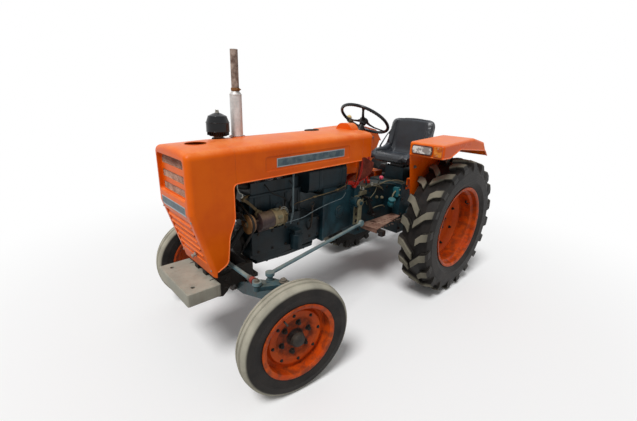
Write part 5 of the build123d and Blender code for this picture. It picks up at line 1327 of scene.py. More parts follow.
def makeHoodStay():
    # Tall stay that holds the hood's edge above the engine
    form = bmesh.new()
    x, d = trim["rodX"], trim["rodBack"]
    stay = [
        (0.182, back(d - 0.004), 1.058), (x + 0.006, back(d - 0.002), 1.045), (x, back(d), 1.02), (x, back(d), 0.80),
        (x - 0.02, back(d + 0.006), 0.76), (0.118, back(d + 0.006), 0.715)
    ]
    addTube(form, softLine(stay, 0.02), 0.0062, 12)
    makePiece("hoodStay", form, "wireGrey")


makeHoodStay()


def makeGeneratorTrim():
    # Slotted strap from the front of the head down to the generator
    x, z = trim["generatorX"], trim["generatorZ"]
    form = bmesh.new()
    sidePlate(form, trim["strap"], 0.118, trim["strapThickness"])
    sidePlate(form, trim["lug"], 0.124, 0.010)
    addBolt(form, (0.124, back(-0.022), 0.930), (1, 0, 0), 0.014, 0.007)
    addBolt(form, (0.134, back(0.074), 0.842), (1, 0, 0), 0.014, 0.007)
    addTube(form, [(0.118, back(-0.022), 0.930), (0.080, back(-0.010), 0.925), (0.060, back(0.06), 0.925)], 0.008, 10)
    makePiece("generatorStrap", form, "strapKhaki", bevel=0.0012)
    form = bmesh.new()
    # Dusty heads of the generator's end: the brush covers, through bolts and terminals
    addBoltRing(form, (x, back(0.2090), z), (0, 1, 0), 0.038, 2, 0.010, 0.006, 0.6)
    for turn in range(6):
        angle = math.radians(60 * turn + 20)
        addBlock(
            form, (x + 0.0525 * math.cos(angle), back(0.181), z + 0.0525 * math.sin(angle)),
            (0.010, 0.030, 0.018), (0, -math.degrees(angle), 0)
        )
    addLathe(form, (x, back(-0.0155), z), (0, -1, 0), trim["shaftNut"], 6)
    addLathe(form, (x, back(-0.0135), z), (0, -1, 0), trim["shaftWasher"], 20)
    makePiece("generatorFittings", form, "castDusty", bevel=0.0008)
    form = bmesh.new()
    addLathe(form, (x, back(0.2085), z), (0, 1, 0), trim["brushEnd"], 36)
    for turn in (25, 70, 115, 200, 290):
        angle = math.radians(turn)
        place = (x + 0.047 * math.cos(angle), back(0.232), z + 0.047 * math.sin(angle))
        addLathe(form, place, (math.cos(angle), 0.2, math.sin(angle)), trim["terminal"], 12)
    makePiece("brushEnd", form, "strapKhaki", bevel=0.0008)


makeGeneratorTrim()


# Pipes, wires and hoses as (x, distance, height)
coolingRuns = dict(
    dipstick=dict(
        corner=0.02, steps=5, radius=0.006, sides=10,
        points=[(0.118, 0.456, 0.64), (0.142, 0.458, 0.66), (0.15, 0.46, 0.72), (0.15, 0.462, 0.805)]
    ),
    topHose=dict(
        corner=0.04, steps=6, radius=0.019, sides=16,
        points=[
            (0.0, -0.15, 1.04), (0.012, -0.11, 1.034), (0.03, -0.06, 1.01), (0.035, 0.01, 0.985),
            (0.035, 0.062, 0.975)
        ]
    ),
    bottomHose=dict(
        corner=0.04, steps=6, radius=0.017, sides=16,
        points=[
            (0.06, -0.15, 0.64), (0.07, -0.1, 0.645), (0.088, -0.04, 0.72), (0.08, 0.01, 0.77), (0.06, 0.05, 0.775)
        ]
    ),
)


def makeInjection():
    # Steel pipes from the injection pump up to the head, and its banjo bolts
    form = bmesh.new()
    for k, (start, stop) in enumerate(((0.285, 0.150), (0.325, 0.330))):
        line = [
            (0.090, back(start), 0.783), (0.092, back(start), 0.845), (0.120, back(start - 0.01), 0.885),
            (0.112, back(stop + 0.02), 0.935), (0.075, back(stop), 0.985), (0.045, back(stop), 1.004)
        ]
        addTube(form, softLine(line, 0.03, 6), 0.0034, 8)
        addBolt(form, (0.090, back(start), 0.784), (0, 0, 1), 0.015, 0.014, True)
        addBolt(form, (0.045, back(stop), 0.999), (0, 0, 1), 0.017, 0.018, True)
    makePiece("injectionPipes", form, "fanBlack")
    form = bmesh.new()
    for d in (0.075, 0.150, 0.235, 0.310, 0.385):
        for x in (-0.058, 0.062):
            addBolt(form, (x, back(d), 0.9995), (0, 0, 1), 0.017, 0.010, True, 0.006)
    for d in (0.070, 0.170, 0.270, 0.370, 0.470, 0.540):
        for side in (1, -1):
            for z in (0.590, 0.702):
                addBolt(form, (side * 0.1195, back(d), z), (side, 0, 0), 0.013, 0.006)
    makePiece("engineBolts", form, "fanBlack")
    form = bmesh.new()
    # Dipstick and its guide on the left
    addRun(form, coolingRuns["dipstick"])
    addHoop(form, (0.150, back(0.462), 0.822), (1, 0, 0), 0.014, 0.0026, 24)
    addLathe(form, (0.150, back(0.462), 0.803), (0, 0, 1), trim["dipstickCap"], 14)
    makePiece("dipstick", form, "fanBlack")
    form = bmesh.new()
    # Radiator hoses, top and bottom
    addRun(form, coolingRuns["topHose"])
    addRun(form, coolingRuns["bottomHose"])
    makePiece("coolingHoses", form, "hoseRubber")


makeInjection()


def makeSump():
    # Lower pressing of the oil pan, its ribs and the drain plug
    form = bmesh.new()
    rings = []
    for d, z, half in trim["panStations"]:
        section = [
            (-half - 0.004, 0.520), (-half, z + 0.008), (-half + 0.012, z), (half - 0.012, z), (half, z + 0.008),
            (half + 0.004, 0.520)
        ]
        rings.append([form.verts.new((x, back(d), h)) for x, h in section])
    for first, second in zip(rings, rings[1:]):
        for k in range(5):
            form.faces.new((first[k], first[k + 1], second[k + 1], second[k]))
        form.faces.new((first[5], first[0], second[0], second[5]))
    form.faces.new(rings[0])
    form.faces.new(rings[-1][::-1])
    for d in (0.16, 0.24, 0.38, 0.46):
        addBlock(form, (0, back(d), 0.4875), (0.150, 0.012, 0.008))
    addBolt(form, (0.03, back(0.31), 0.4845), (0, 0, -1), 0.020, 0.009)
    makePiece("sumpPressing", form, "engineEnamelOilAndShade", bevel=0.002)


makeSump()
print("engine trim made")

# Bucket seat: a stuffed shell swept across its width, swelled as cloth, with sunk seams round the middle panel
bucket = dict(
    half=0.214, crown=0.020, cornerFrom=1.262, cornerRadius=0.068, blendFrom=0.60, blendTo=0.82, inset=0.006,
    voxel=0.0062, pressure=4.0, cap=0.008, seamDepth=0.0045, seamWidth=0.0065, seamAt=0.70,
    middle=[(1.408, 0.972), (1.400, 0.998), (1.412, 1.022), (1.46, 1.034), (1.55, 1.026), (1.63, 1.012), (1.682, 1.018),
            (1.708, 1.05), (1.722, 1.12), (1.735, 1.22), (1.742, 1.285), (1.748, 1.308), (1.765, 1.318),
            (1.782, 1.308),
            (1.784, 1.28), (1.782, 1.18), (1.778, 1.08), (1.762, 1.02), (1.72, 0.975), (1.66, 0.955), (1.55, 0.955),
            (1.46, 0.962)],
    side=[(1.420, 0.985), (1.408, 1.005), (1.414, 1.035), (1.46, 1.056), (1.55, 1.064), (1.62, 1.07), (1.665, 1.095),
          (1.685, 1.14), (1.700, 1.19), (1.712, 1.24), (1.722, 1.285), (1.735, 1.312), (1.758, 1.320), (1.780, 1.308),
          (1.784, 1.28), (1.783, 1.18), (1.778, 1.09), (1.764, 1.03), (1.725, 0.985), (1.66, 0.968), (1.55, 0.966),
          (1.46, 0.972)],
)


def smoothLoop(points, steps):
    # A closed Catmull-Rom line through the points
    line = []
    count = len(points)
    for k in range(count):
        a, b, c, d = (Vector(points[(k + n - 1) % count]) for n in range(4))
        for s in range(steps):
            t = s / steps
            line.append(
                0.5 * (2 * b + (c - a) * t + (2 * a - 5 * b + 4 * c - d) * t * t + (3 * b - a - 3 * c + d) * t ** 3)
            )
    return line


def easing(value, low, high):
    t = min(max((value - low) / (high - low), 0), 1)
    return t * t * (3 - 2 * t)


def bucketPoint(u, k, inward=0.0):
    # Point k of the seat's outline at share u of its half width
    mix = easing(abs(u), bucket["blendFrom"], bucket["blendTo"])
    middle, side = bucketLoops
    spot = middle[k] * (1 - mix) + side[k] * mix
    if inward:
        count = len(middle)
        before = middle[k - 1] * (1 - mix) + side[k - 1] * mix
        after = middle[(k + 1) % count] * (1 - mix) + side[(k + 1) % count] * mix
        along = (after - before).normalized()
        spot = spot + Vector((along.y, -along.x)) * inward
    # The back is crowned, highest at its middle
    spot = Vector((spot.x, spot.y + bucket["crown"] * easing(spot.y, 1.18, 1.32) * (1 - 0.8 * u * u)))
    half = bucket["half"]
    over = spot.y - bucket["cornerFrom"]
    if over > 0:
        radius = bucket["cornerRadius"]
        half -= radius - math.sqrt(max(radius * radius - over * over, 0))
    # The pan's front corners are drawn in a little
    half -= 0.022 * easing(spot.x, 1.50, 1.40)
    return Vector((u * half, back(spot.x), spot.y))


bucketLoops = [smoothLoop(bucket["middle"], 4), smoothLoop(bucket["side"], 4)]


def addBucketShell():
    form = bmesh.new()
    count = len(bucketLoops[0])
    spans = [(k / 30, bucket["inset"]) for k in range(-28, 29)]
    spans = [(-0.992, 0.021), (-0.972, 0.013)] + spans + [(0.972, 0.013), (0.992, 0.021)]
    rings = [[form.verts.new(bucketPoint(u, k, inward)) for k in range(count)] for u, inward in spans]
    for first, second in zip(rings, rings[1:]):
        for k in range(count):
            n = (k + 1) % count
            form.faces.new((first[k], first[n], second[n], second[k]))
    form.faces.new(rings[0][::-1])
    form.faces.new(rings[-1])
    bmesh.ops.triangulate(form, faces=[f for f in form.faces if len(f.verts) > 4])
    bmesh.ops.recalc_face_normals(form, faces=form.faces)
    return form


def applyModifiers(piece):
    # Gives the piece the mesh that its modifiers make, and takes them off
    graph = bpy.context.evaluated_depsgraph_get()
    result = bpy.data.meshes.new_from_object(piece.evaluated_get(graph), depsgraph=graph)
    piece.modifiers.clear()
    old = piece.data
    piece.data = result
    bpy.data.meshes.remove(old)


def swell(piece):
    # Lets the cover swell under pressure, and holds each point near where it began
    start = [v.co.copy() for v in piece.data.vertices]
    cloth = piece.modifiers.new("cover", "CLOTH")
    settings = cloth.settings
    settings.use_pressure = True
    settings.uniform_pressure_force = bucket["pressure"]
    settings.quality = 5
    settings.mass = 0.3
    settings.tension_stiffness = 20
    settings.compression_stiffness = 20
    settings.bending_stiffness = 2
    settings.effector_weights.gravity = 0
    cloth.point_cache.frame_start = 1
    cloth.point_cache.frame_end = 20
    scene = bpy.context.scene
    for step in range(1, 21):
        scene.frame_set(step)
    graph = bpy.context.evaluated_depsgraph_get()
    swollen = piece.evaluated_get(graph).data
    places = [v.co.copy() for v in swollen.vertices]
    piece.modifiers.clear()
    for vertex, before, after in zip(piece.data.vertices, start, places):
        move = after - before
        if move.length > bucket["cap"]:
            move *= bucket["cap"] / move.length
        vertex.co = before + move
    scene.frame_set(1)


def seamLines():
    # Paths of the sewn channels, as points near the cover
    lines = []
    for side in (-1, 1):
        lines.append([bucketPoint(side * bucket["seamAt"], k) for k in range(4 * 3, 4 * 10 + 2)])
    for k in (4 * 10 + 2, 4 * 6 + 1, 4 * 3):
        lines.append(
            [bucketPoint(u / 30, k) for u in range(int(-30 * bucket["seamAt"]), int(30 * bucket["seamAt"]) + 1)]
        )
    # Channel round the outside, where the cover meets the shell
    for u in (-1, 1):
        lines.append([bucketPoint(u * 0.985, k) for k in range(4, 4 * 14)])
    return lines


def sinkSeams(piece):
    tree = KDTree(sum(len(line) * 6 for line in seamLines()))
    count = 0
    for line in seamLines():
        for a, b in zip(line, line[1:]):
            for s in range(6):
                tree.insert(a.lerp(b, s / 6), count)
                count += 1
    tree.balance()
    normals = [n.vector.copy() for n in piece.data.vertex_normals]
    for vertex, normal in zip(piece.data.vertices, normals):
        spot = tree.find(vertex.co)[0]
        # Only the depth across the surface counts, so a swollen cover still finds its seam
        away = vertex.co - spot
        flat = (away - normal * away.dot(normal)).length
        if abs(away.dot(normal)) < 0.022:
            vertex.co -= normal * bucket["seamDepth"] * math.exp(-((flat / bucket["seamWidth"]) ** 2))


def makeBucketSeat():
    form = addBucketShell()
    piece = makePiece("bucketSeat", form, "seatVinyl", sharp=180)
    remesh = piece.modifiers.new("even", "REMESH")
    remesh.mode = "VOXEL"
    remesh.voxel_size = bucket["voxel"]
    relax = piece.modifiers.new("relax", "SMOOTH")
    relax.factor = 0.5
    relax.iterations = 4
    applyModifiers(piece)
    swell(piece)
    sinkSeams(piece)
    finer = piece.modifiers.new("finer", "SUBSURF")
    finer.levels = 1
    finer.render_levels = 1
    applyModifiers(piece)
    repaint(piece, paints["seatVinyl"])
    piece.data.shade_smooth()
    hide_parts("seat")
    # Welts along the two long seams
    form = bmesh.new()
    tree = KDTree(len(piece.data.vertices))
    for k, vertex in enumerate(piece.data.vertices):
        tree.insert(vertex.co, k)
    tree.balance()
    for line in seamLines()[:3]:
        path = [tree.find(p)[0].copy() for p in line]
        for lap in range(2):
            path = [path[0]] + [(a + b * 2 + c) / 4 for a, b, c in zip(path, path[1:], path[2:])] + [path[-1]]
        addTube(form, path, 0.0021, 8)
    makePiece("seatWelts", form, "seatVinyl")


makeBucketSeat()
print("bucket seat made")


# Rims grow darker towards the hub and, in patches, towards their outer edge, told by the distance from the axle
def makeRim(name, centre, axis, reach, hubShare, darkeningShare):
    look = finishes["wheelEnamel"]
    material, tree, shader = startMaterial(name)
    lap = useGroup(tree, wheelRadius, Centre=centre, Axis=axis, Reach=reach)
    wear = useGroup(tree, edgeWear, Radius=0.004, Amount=0.25, Scale=24.0)
    tone = useGroup(tree, mottle, Scale=7.0, Streaks=0.25)
    blot = useGroup(tree, mottle, Scale=22.0, Streaks=0.0)
    share = lap.outputs["Share"]
    base = blendColour(tree, spread(tree, tone.outputs["Shade"], 0.35, 0.68), look["fresh"], look["faded"])
    hubDarkening = calc(
        tree, "MULTIPLY", spread(tree, share, darkeningShare + 0.22, darkeningShare - 0.1),
        spread(tree, blot.outputs["Shade"], 0.3, 0.62, 0.25, 0.95)
    )
    base = blendColour(tree, hubDarkening, base, tint(84, 40, 26))
    corner = calc(
        tree, "MULTIPLY", spread(tree, share, 0.78, 0.9), spread(tree, blot.outputs["Shade"], 0.4, 0.66, 0.0, 0.75)
    )
    base = blendColour(tree, corner, base, tint(104, 50, 30))
    base = blendColour(tree, tone.outputs["Streak"], base, tint(110, 48, 24))
    base = blendColour(tree, wear.outputs["Mask"], base, tint(120, 66, 44))
    bare = spread(tree, share, hubShare + 0.02, hubShare - 0.02)
    hub = blendColour(tree, spread(tree, blot.outputs["Shade"], 0.35, 0.65), tint(22, 19, 18), tint(66, 52, 46))
    base = blendColour(tree, bare, base, hub)
    plug(tree, base, shader.inputs["Base Color"])
    rimRoughness = calc(
        tree, "ADD", calc(tree, "MULTIPLY", hubDarkening, 0.3), spread(tree, tone.outputs["Shade"], 0.3, 0.7, 0.38, 0.52),
        clamp=True
    )
    plug(tree, rimRoughness, shader.inputs["Roughness"])
    shader.inputs["Specular IOR Level"].default_value = 0.2
    height = calc(tree, "ADD", tone.outputs["Grain"], calc(tree, "MULTIPLY", hubDarkening, 0.8))
    plug(tree, bumpFrom(tree, height, 0.2, 0.002, wear.outputs["Normal"]), shader.inputs["Normal"])
    return material


# Wheels: nuts, studs, hub caps, valve stems and the bolts that join rim and disc
wheelTrim = dict(
    kingpinX=0.455, spindle=0.125, frontZ=0.312, frontRim=(0.209, 0.235, 0.50), rearRim=(0.323, 0.11, 0.30),
    frontNuts=0.082, frontRing=0.134, rearNuts=0.076, rearClamps=0.216,
    hubCap=[(0.020, 0.0385), (0.034, 0.0375), (0.038, 0.0345), (0.0465, 0.0255), (0.0495, 0.012), (0.0500, 0)],
    valveCap=[(0, 0.0048), (0, 0.0052), (0.010, 0.0052), (0.012, 0.003), (0.012, 0)],
    rearCap=[(0, 0), (0, 0.020), (0.003, 0.020), (0.005, 0.016), (0.005, 0.008), (0.002, 0.006), (0.002, 0)],
)


def makeWheelTrim():
    for sideName, side in sides.items():
        out = Vector((side * math.cos(parkTurn), side * math.sin(parkTurn), 0))
        centre = Vector((side * wheelTrim["kingpinX"], back(0), wheelTrim["frontZ"])) + out * wheelTrim["spindle"]
        body = f"front_wheel_{sideName}"
        rim = nodes[f"front_rim_{sideName}"]
        paints[rim.name] = makeRim(f"frontRim{sideName.title()}", centre, out, *wheelTrim["frontRim"])
        repaint(rim, paints[rim.name])
        form = bmesh.new()
        addBoltRing(form, centre + out * -0.0065, out, wheelTrim["frontNuts"], 6, 0.021, 0.014, 0.3, 0.006)
        addBoltRing(form, centre + out * 0.0065, out, wheelTrim["frontRing"], 8, 0.012, 0.006, 0.1)
        makePiece(f"frontNuts_{sideName}", form, "fanBlack", body, bevel=0.0006)
        form = bmesh.new()
        addLathe(form, centre, out, wheelTrim["hubCap"], 32)
        addHoop(form, centre + out * 0.021, out, 0.0385, 0.0024, 40)
        addBoltRing(form, centre + out * 0.0385, out, 0.026, 4, 0.008, 0.004, 0.7)
        makePiece(f"hubCap_{sideName}", form, "frameBlack", body, bevel=0.0006)
        form = bmesh.new()
        spot = aim(centre, out)
        lean = spot.to_3x3() @ Vector((math.cos(2.1), math.sin(2.1), 0))
        foot = centre + lean * 0.183 + out * 0.026
        addTube(
            form, [foot, foot - lean * 0.010 + out * 0.012, foot - lean * 0.016 + out * 0.030],
            [0.0062, 0.0052, 0.0044], 10
        )
        addLathe(form, foot - lean * 0.016 + out * 0.030, out * 0.9 - lean * 0.3, wheelTrim["valveCap"], 12)
        makePiece(f"frontValve_{sideName}", form, "hoseRubber", body)
        # Rear wheel: nuts, clamps and valve
        out = Vector((side, 0, 0))
        centre = Vector((side * rearAxle["x"], rearAxle["y"], rearAxle["z"]))
        body = f"rear_wheel_{sideName}"
        rim = nodes[f"rear_rim_{sideName}"]
        paints[rim.name] = makeRim(f"rearRim{sideName.title()}", centre, out, *wheelTrim["rearRim"])
        repaint(rim, paints[rim.name])
        form = bmesh.new()
        addBoltRing(form, centre + out * -0.0805, out, wheelTrim["rearNuts"], 6, 0.024, 0.014, 0.2, 0.008)
        addBoltRing(form, centre + out * -0.0735, out, wheelTrim["rearClamps"], 8, 0.018, 0.010, 0.35, 0.006)
        addLathe(form, centre + out * -0.054, out, wheelTrim["rearCap"], 24)
        makePiece(f"rearNuts_{sideName}", form, "fanBlack", body, bevel=0.0006)
        form = bmesh.new()
        spot = aim(centre, out)
        lean = spot.to_3x3() @ Vector((math.cos(0.6), math.sin(0.6), 0))
        foot = centre + lean * 0.2790 + out * 0.020
        addTube(
            form,
            [
                foot + lean * 0.004, foot - lean * 0.014, foot - lean * 0.022 + out * 0.012,
                foot - lean * 0.024 + out * 0.034
            ],
            [0.008, 0.0065, 0.0048, 0.0044], 10
        )
        makePiece(f"rearValve_{sideName}", form, "hoseRubber", body)


makeWheelTrim()
print("wheel trim made")

# Fenders: rolled lips along the skirt and the lamp box, and bolts on the inner wall
fenderLip = [(1.142, 1.118), (1.240, 1.117), (1.372, 1.165), (1.785, 1.125), (1.829, 1.083)]


def makeFenderTrim():
    form = bmesh.new()
    for side in (1, -1):
        outer = side * (fender["outer"] - 0.0012)
        inner = side * (fender["inner"] + 0.004)
        line = [(outer, back(d), z) for d, z in fenderLip]
        addTube(form, softLine(line, 0.02), 0.0042, 8)
        addTube(form, [(inner, back(1.1415), 1.118), (outer, back(1.1415), 1.118)], 0.0036, 8)
        addTube(form, [(side * 0.640, back(1.831), 1.085), (side * 0.392, back(1.831), 1.085)], 0.0028, 8)
    # The fender lips wear the lighter orange as a painted highlight
    makePiece("fenderLips", form, "paintedLipHighlight")
    form = bmesh.new()
    for side in (1, -1):
        for d, z in ((1.22, 1.02), (1.30, 0.93), (1.42, 1.12), (1.56, 0.95), (1.70, 1.12)):
            addBolt(form, (side * (fender["inner"] - 0.0005), back(d), z), (-side, 0, 0), 0.017, 0.008)
            addBolt(form, (side * (fender["inner"] + 0.0035), back(d), z), (side, 0, 0), 0.017, 0.010, True, 0.004)
    makePiece("fenderBolts", form, "linkSteel", bevel=0.0006)


makeFenderTrim()

# Grommet of the filler hole in the hood's top
filler = dict(
    x=-0.098, distance=0.66, z=1.2535,
    ring=[
        (-0.004, 0.0), (-0.004, 0.043), (0.0045, 0.043), (0.0062, 0.046), (0.0045, 0.0495), (0.0, 0.051),
        (-0.003, 0.0505)
    ],
)


def makeFiller():
    form = bmesh.new()
    addLathe(form, (filler["x"], back(filler["distance"]), filler["z"]), (-0.06, -0.03, 1), filler["ring"], 36)
    makePiece("fillerGrommet", form, "hoseRubber")


makeFiller()
print("fender and filler trim made")

# Steering joints: red boots, castle nuts and grease nipples; each rides with its own rod or knuckle
steeringTrim = dict(
    tieLeft=(0.3974, -1.0297, 0.580), tieRight=(-0.4334, -1.0408, 0.580), studTop=0.0095, kingpinX=0.455,
    kingpinTop=0.572, nippleOut=0.024, nippleTop=0.5635, nippleAhead=-0.012, pivotZ=0.372, pivotRing=-0.034,
    pivotFace=-0.031, sleeveFace=-0.036, sleeveNipple=0.500, bootStart=0.026,
    boot=[(0, 0.013), (0, 0.0175), (0.006, 0.0185), (0.012, 0.0165), (0.018, 0.018), (0.026, 0.0155), (0.030, 0.0125)],
    nutStart=0.058, lockNut=[(0, 0.012), (0, 0.0165), (0.014, 0.0165), (0.014, 0.012)],
    nipple=[(0, 0.0035), (0.004, 0.0035), (0.006, 0.0022), (0.010, 0.0030), (0.012, 0)],
    sleeve=[(-0.004, 0.004), (0.005, 0.004), (0.007, 0.0025), (0.011, 0.0032), (0.013, 0)],
)


def makeJointTrim():
    left, right = Vector(steeringTrim["tieLeft"]), Vector(steeringTrim["tieRight"])
    along = (right - left).normalized()
    ends = ((left, along), (right, -along))
    form = bmesh.new()
    for start, way in ends:
        addLathe(form, start + way * steeringTrim["bootStart"], way, steeringTrim["boot"], 24)
    makePiece("tieRodBoots", form, "bootRed", "tie_rod")
    form = bmesh.new()
    for start, way in ends:
        addLathe(form, start + way * steeringTrim["nutStart"], way, steeringTrim["lockNut"], 6)
        addBolt(form, start + Vector((0, 0, steeringTrim["studTop"])), (0, 0, 1), 0.019, 0.011, True, 0.005)
    makePiece("tieRodNuts", form, "linkSteel", "tie_rod", bevel=0.0006)
    for sideName, side in sides.items():
        form = bmesh.new()
        x = side * steeringTrim["kingpinX"]
        addBolt(form, (x, back(0), steeringTrim["kingpinTop"]), (0, 0, 1), 0.030, 0.012, True, 0.004)
        spot = (x + side * steeringTrim["nippleOut"], back(steeringTrim["nippleAhead"]), steeringTrim["nippleTop"])
        addLathe(form, spot, (0, 0, 1), steeringTrim["nipple"], 10)
        makePiece(f"kingpinNut_{sideName}", form, "linkSteel", f"knuckle_{sideName}", bevel=0.0006)
    form = bmesh.new()
    for side in (1, -1):
        addBoltRing(
            form, (0, back(steeringTrim["pivotRing"]), steeringTrim["pivotZ"]), (0, -1, 0), 0.030, 1, 0.012, 0.006
        )
        spot = (side * steeringTrim["kingpinX"], back(steeringTrim["sleeveFace"]), steeringTrim["sleeveNipple"])
        addLathe(form, spot, (0, -1, 0.2), steeringTrim["sleeve"], 10)
    addBolt(form, (0, back(steeringTrim["pivotFace"]), steeringTrim["pivotZ"]), (0, -1, 0), 0.040, 0.016, True, 0.008)
    makePiece("axleNuts", form, "linkSteel", bevel=0.0006)


makeJointTrim()

# Dusty flange behind the engine's housing, its bolts and the pipes that cross the gearbox
flange = dict(
    front=0.889, rear=0.945, x=0.1302, low=0.575, high=0.800, thickness=0.004, boltX=0.1338, boltMiddle=0.917,
    boltHeights=(0.600, 0.655, 0.710, 0.765), gearboxX=0.1045, caseX=0.1645, topX=0.080, topZ=0.9248, endD=1.7395,
    # Bolts as (distance, height) on the sides, distances along the top and (x, height) on the end
    gearboxBolts=(
        (0.985, 0.80), (1.09, 0.80), (1.20, 0.80), (1.31, 0.80), (0.985, 0.505), (1.09, 0.505), (1.20, 0.505),
        (1.31, 0.505)
    ),
    caseBolts=((1.455, 0.42), (1.455, 0.55), (1.455, 0.68), (1.72, 0.42), (1.72, 0.68), (1.72, 0.79), (1.50, 0.79)),
    topBolts=(1.56, 1.63, 1.70, 1.745),
    endBolts=((0.09, 0.47), (-0.09, 0.47), (0.09, 0.65), (-0.09, 0.65), (0.0, 0.70)),
    bosses=((1.00, 0.75), (1.07, 0.705), (1.18, 0.735), (1.25, 0.72)),
    boss=[(0, 0.012), (0.010, 0.012), (0.012, 0.009), (0.018, 0.009), (0.019, 0.005), (0.019, 0)],
    clips=((0.118, 0.955, 0.853), (0.120, 0.990, 0.838), (0.126, 1.085, 0.862)), clipLift=0.012,
    clip=[(0, 0), (0, 0.010), (0.010, 0.010), (0.013, 0.0065), (0.022, 0.0065), (0.024, 0.003), (0.024, 0)],
)

# Pipes over the gearbox as (x, distance, height), each with its radius
gearboxRuns = [
    (
        0.0045,
        [(0.118, 0.95, 0.822), (0.125, 1.00, 0.846), (0.122, 1.08, 0.858), (0.116, 1.16, 0.846), (0.110, 1.24, 0.800)]
    ),
    (0.0035, [(0.108, 1.26, 0.78), (0.128, 1.22, 0.80), (0.132, 1.15, 0.835), (0.112, 1.10, 0.838)]),
    (0.003, [(0.108, 1.02, 0.72), (0.134, 1.05, 0.74), (0.136, 1.12, 0.79), (0.110, 1.17, 0.815)]),
    (0.0045, [(0.108, 1.30, 0.63), (0.126, 1.25, 0.66), (0.130, 1.16, 0.665), (0.108, 1.10, 0.64)]),
]


def makeFlangeTrim():
    form = bmesh.new()
    front, rear, low, high = (flange[k] for k in ("front", "rear", "low", "high"))
    outline = [
        (front, low), (rear, low), (rear - 0.006, 0.66), (rear, high - 0.02), (rear - 0.012, high), (front, high)
    ]
    for side in (1, -1):
        sidePlate(form, outline, side * flange["x"] - (flange["thickness"] if side < 0 else 0), flange["thickness"])
    addBlock(form, (0.108, back(0.978), 0.806), (0.060, 0.090, 0.030), (0, 0, 4))
    addBlock(form, (0.085, back(1.060), 0.836), (0.050, 0.100, 0.016))
    makePiece("flangeStrips", form, "castDusty", bevel=0.003)
    form = bmesh.new()
    for side in (1, -1):
        for z in flange["boltHeights"]:
            addBolt(
                form, (side * flange["boltX"], back(flange["boltMiddle"]), z), (side, 0, 0), 0.017, 0.009, True, 0.004
            )
        for d, z in flange["gearboxBolts"]:
            addBolt(form, (side * flange["gearboxX"], back(d), z), (side, 0, 0), 0.015, 0.007)
        for d, z in flange["caseBolts"]:
            addBolt(form, (side * flange["caseX"], back(d), z), (side, 0, 0), 0.017, 0.009)
        for d in flange["topBolts"]:
            addBolt(form, (side * flange["topX"], back(d), flange["topZ"]), (0, 0, 1), 0.015, 0.008)
    for x, z in flange["endBolts"]:
        addBolt(form, (x, back(flange["endD"]), z), (0, 1, 0), 0.017, 0.009)
    makePiece("caseBolts", form, "fanBlack", bevel=0.0006)
    form = bmesh.new()
    for radius, run in gearboxRuns:
        addTube(form, softLine([(x, back(d), z) for x, d, z in run], 0.03, 6), radius, 8)
    for d, z in flange["bosses"]:
        addLathe(form, (flange["gearboxX"], back(d), z), (1, 0, 0), flange["boss"], 16)
    makePiece("gearboxPipes", form, "castDusty")
    form = bmesh.new()
    # Pale terminals and clips that catch the light above the housing
    for x, d, z in flange["clips"]:
        addLathe(form, (x, back(d), z - flange["clipLift"]), (0.3, -0.2, 1), flange["clip"], 14)
    makePiece("paleClips", form, "wirePale")


makeFlangeTrim()

# Step plates: raised pattern and the black brackets below
steps = dict(
    z=0.550, front=1.005, inner=0.150, rows=9, columns=4, rowPitch=0.038, columnPitch=0.034, narrowFrom=1.20,
    bracketZ=0.533, bracketFront=1.035, bracketRear=1.340, bracketInner=0.118,
)


def makeStepTrim():
    form = bmesh.new()
    for side in (1, -1):
        for row in range(steps["rows"]):
            for column in range(steps["columns"]):
                d = steps["front"] + 0.035 + row * steps["rowPitch"]
                x = side * (steps["inner"] + 0.022 + column * steps["columnPitch"])
                if d > steps["narrowFrom"] and column > 2:
                    continue
                turn = 45 if (row + column) % 2 else -45
                addBlock(form, (x, back(d), steps["z"] + 0.0035), (0.020, 0.0045, 0.0022), (0, 0, turn))
    makePiece("stepPattern", form, "stepRust")
    form = bmesh.new()
    z, front, rear = steps["bracketZ"], steps["bracketFront"], steps["bracketRear"]
    for side in (1, -1):
        addBlock(form, (side * 0.215, back(front), z), (0.200, 0.030, 0.030))
        addBlock(form, (side * 0.300, back(front - 0.005), z - 0.009), (0.035, 0.046, 0.040))
        addBlock(form, (side * 0.180, back(rear), z), (0.140, 0.030, 0.030))
        for d in (front, rear):
            addBolt(form, (side * steps["bracketInner"], back(d), z), (side, 0, 0), 0.017, 0.008)
    makePiece("stepBrackets", form, "frameBlack", bevel=0.0025)


makeStepTrim()

# Front frame: towing plates at the sides, and the weight's two bolt holes
frameTrim = dict(
    outline=[
        (-0.262, 0.520), (-0.120, 0.530), (-0.120, 0.455), (-0.150, 0.418), (-0.178, 0.396), (-0.205, 0.404),
        (-0.220, 0.440), (-0.262, 0.450)
    ],
    inner=0.1245, outer=0.1325, thickness=0.008, bolts=((-0.235, 0.495), (-0.150, 0.500), (-0.150, 0.455)),
    holeX=0.140, holeD=-0.345, holeZ=0.5135, hole=[(0, 0), (0, 0.0105), (0.0015, 0.0105), (0.0015, 0)],
)


def makeFrameTrim():
    form = bmesh.new()
    for side in (1, -1):
        sidePlate(
            form, frameTrim["outline"], side * frameTrim["inner"] if side > 0 else -frameTrim["outer"],
            frameTrim["thickness"]
        )
        for d, z in frameTrim["bolts"]:
            addBolt(form, (side * frameTrim["outer"], back(d), z), (side, 0, 0), 0.018, 0.009)
    makePiece("towPlates", form, "frameBlack", bevel=0.0015)
    form = bmesh.new()
    for x in (-frameTrim["holeX"], frameTrim["holeX"]):
        addLathe(form, (x, back(frameTrim["holeD"]), frameTrim["holeZ"]), (0, 0, 1), frameTrim["hole"], 20)
    makePiece("weightHoles", form, "fanBlack", bevel=0.0006)


makeFrameTrim()

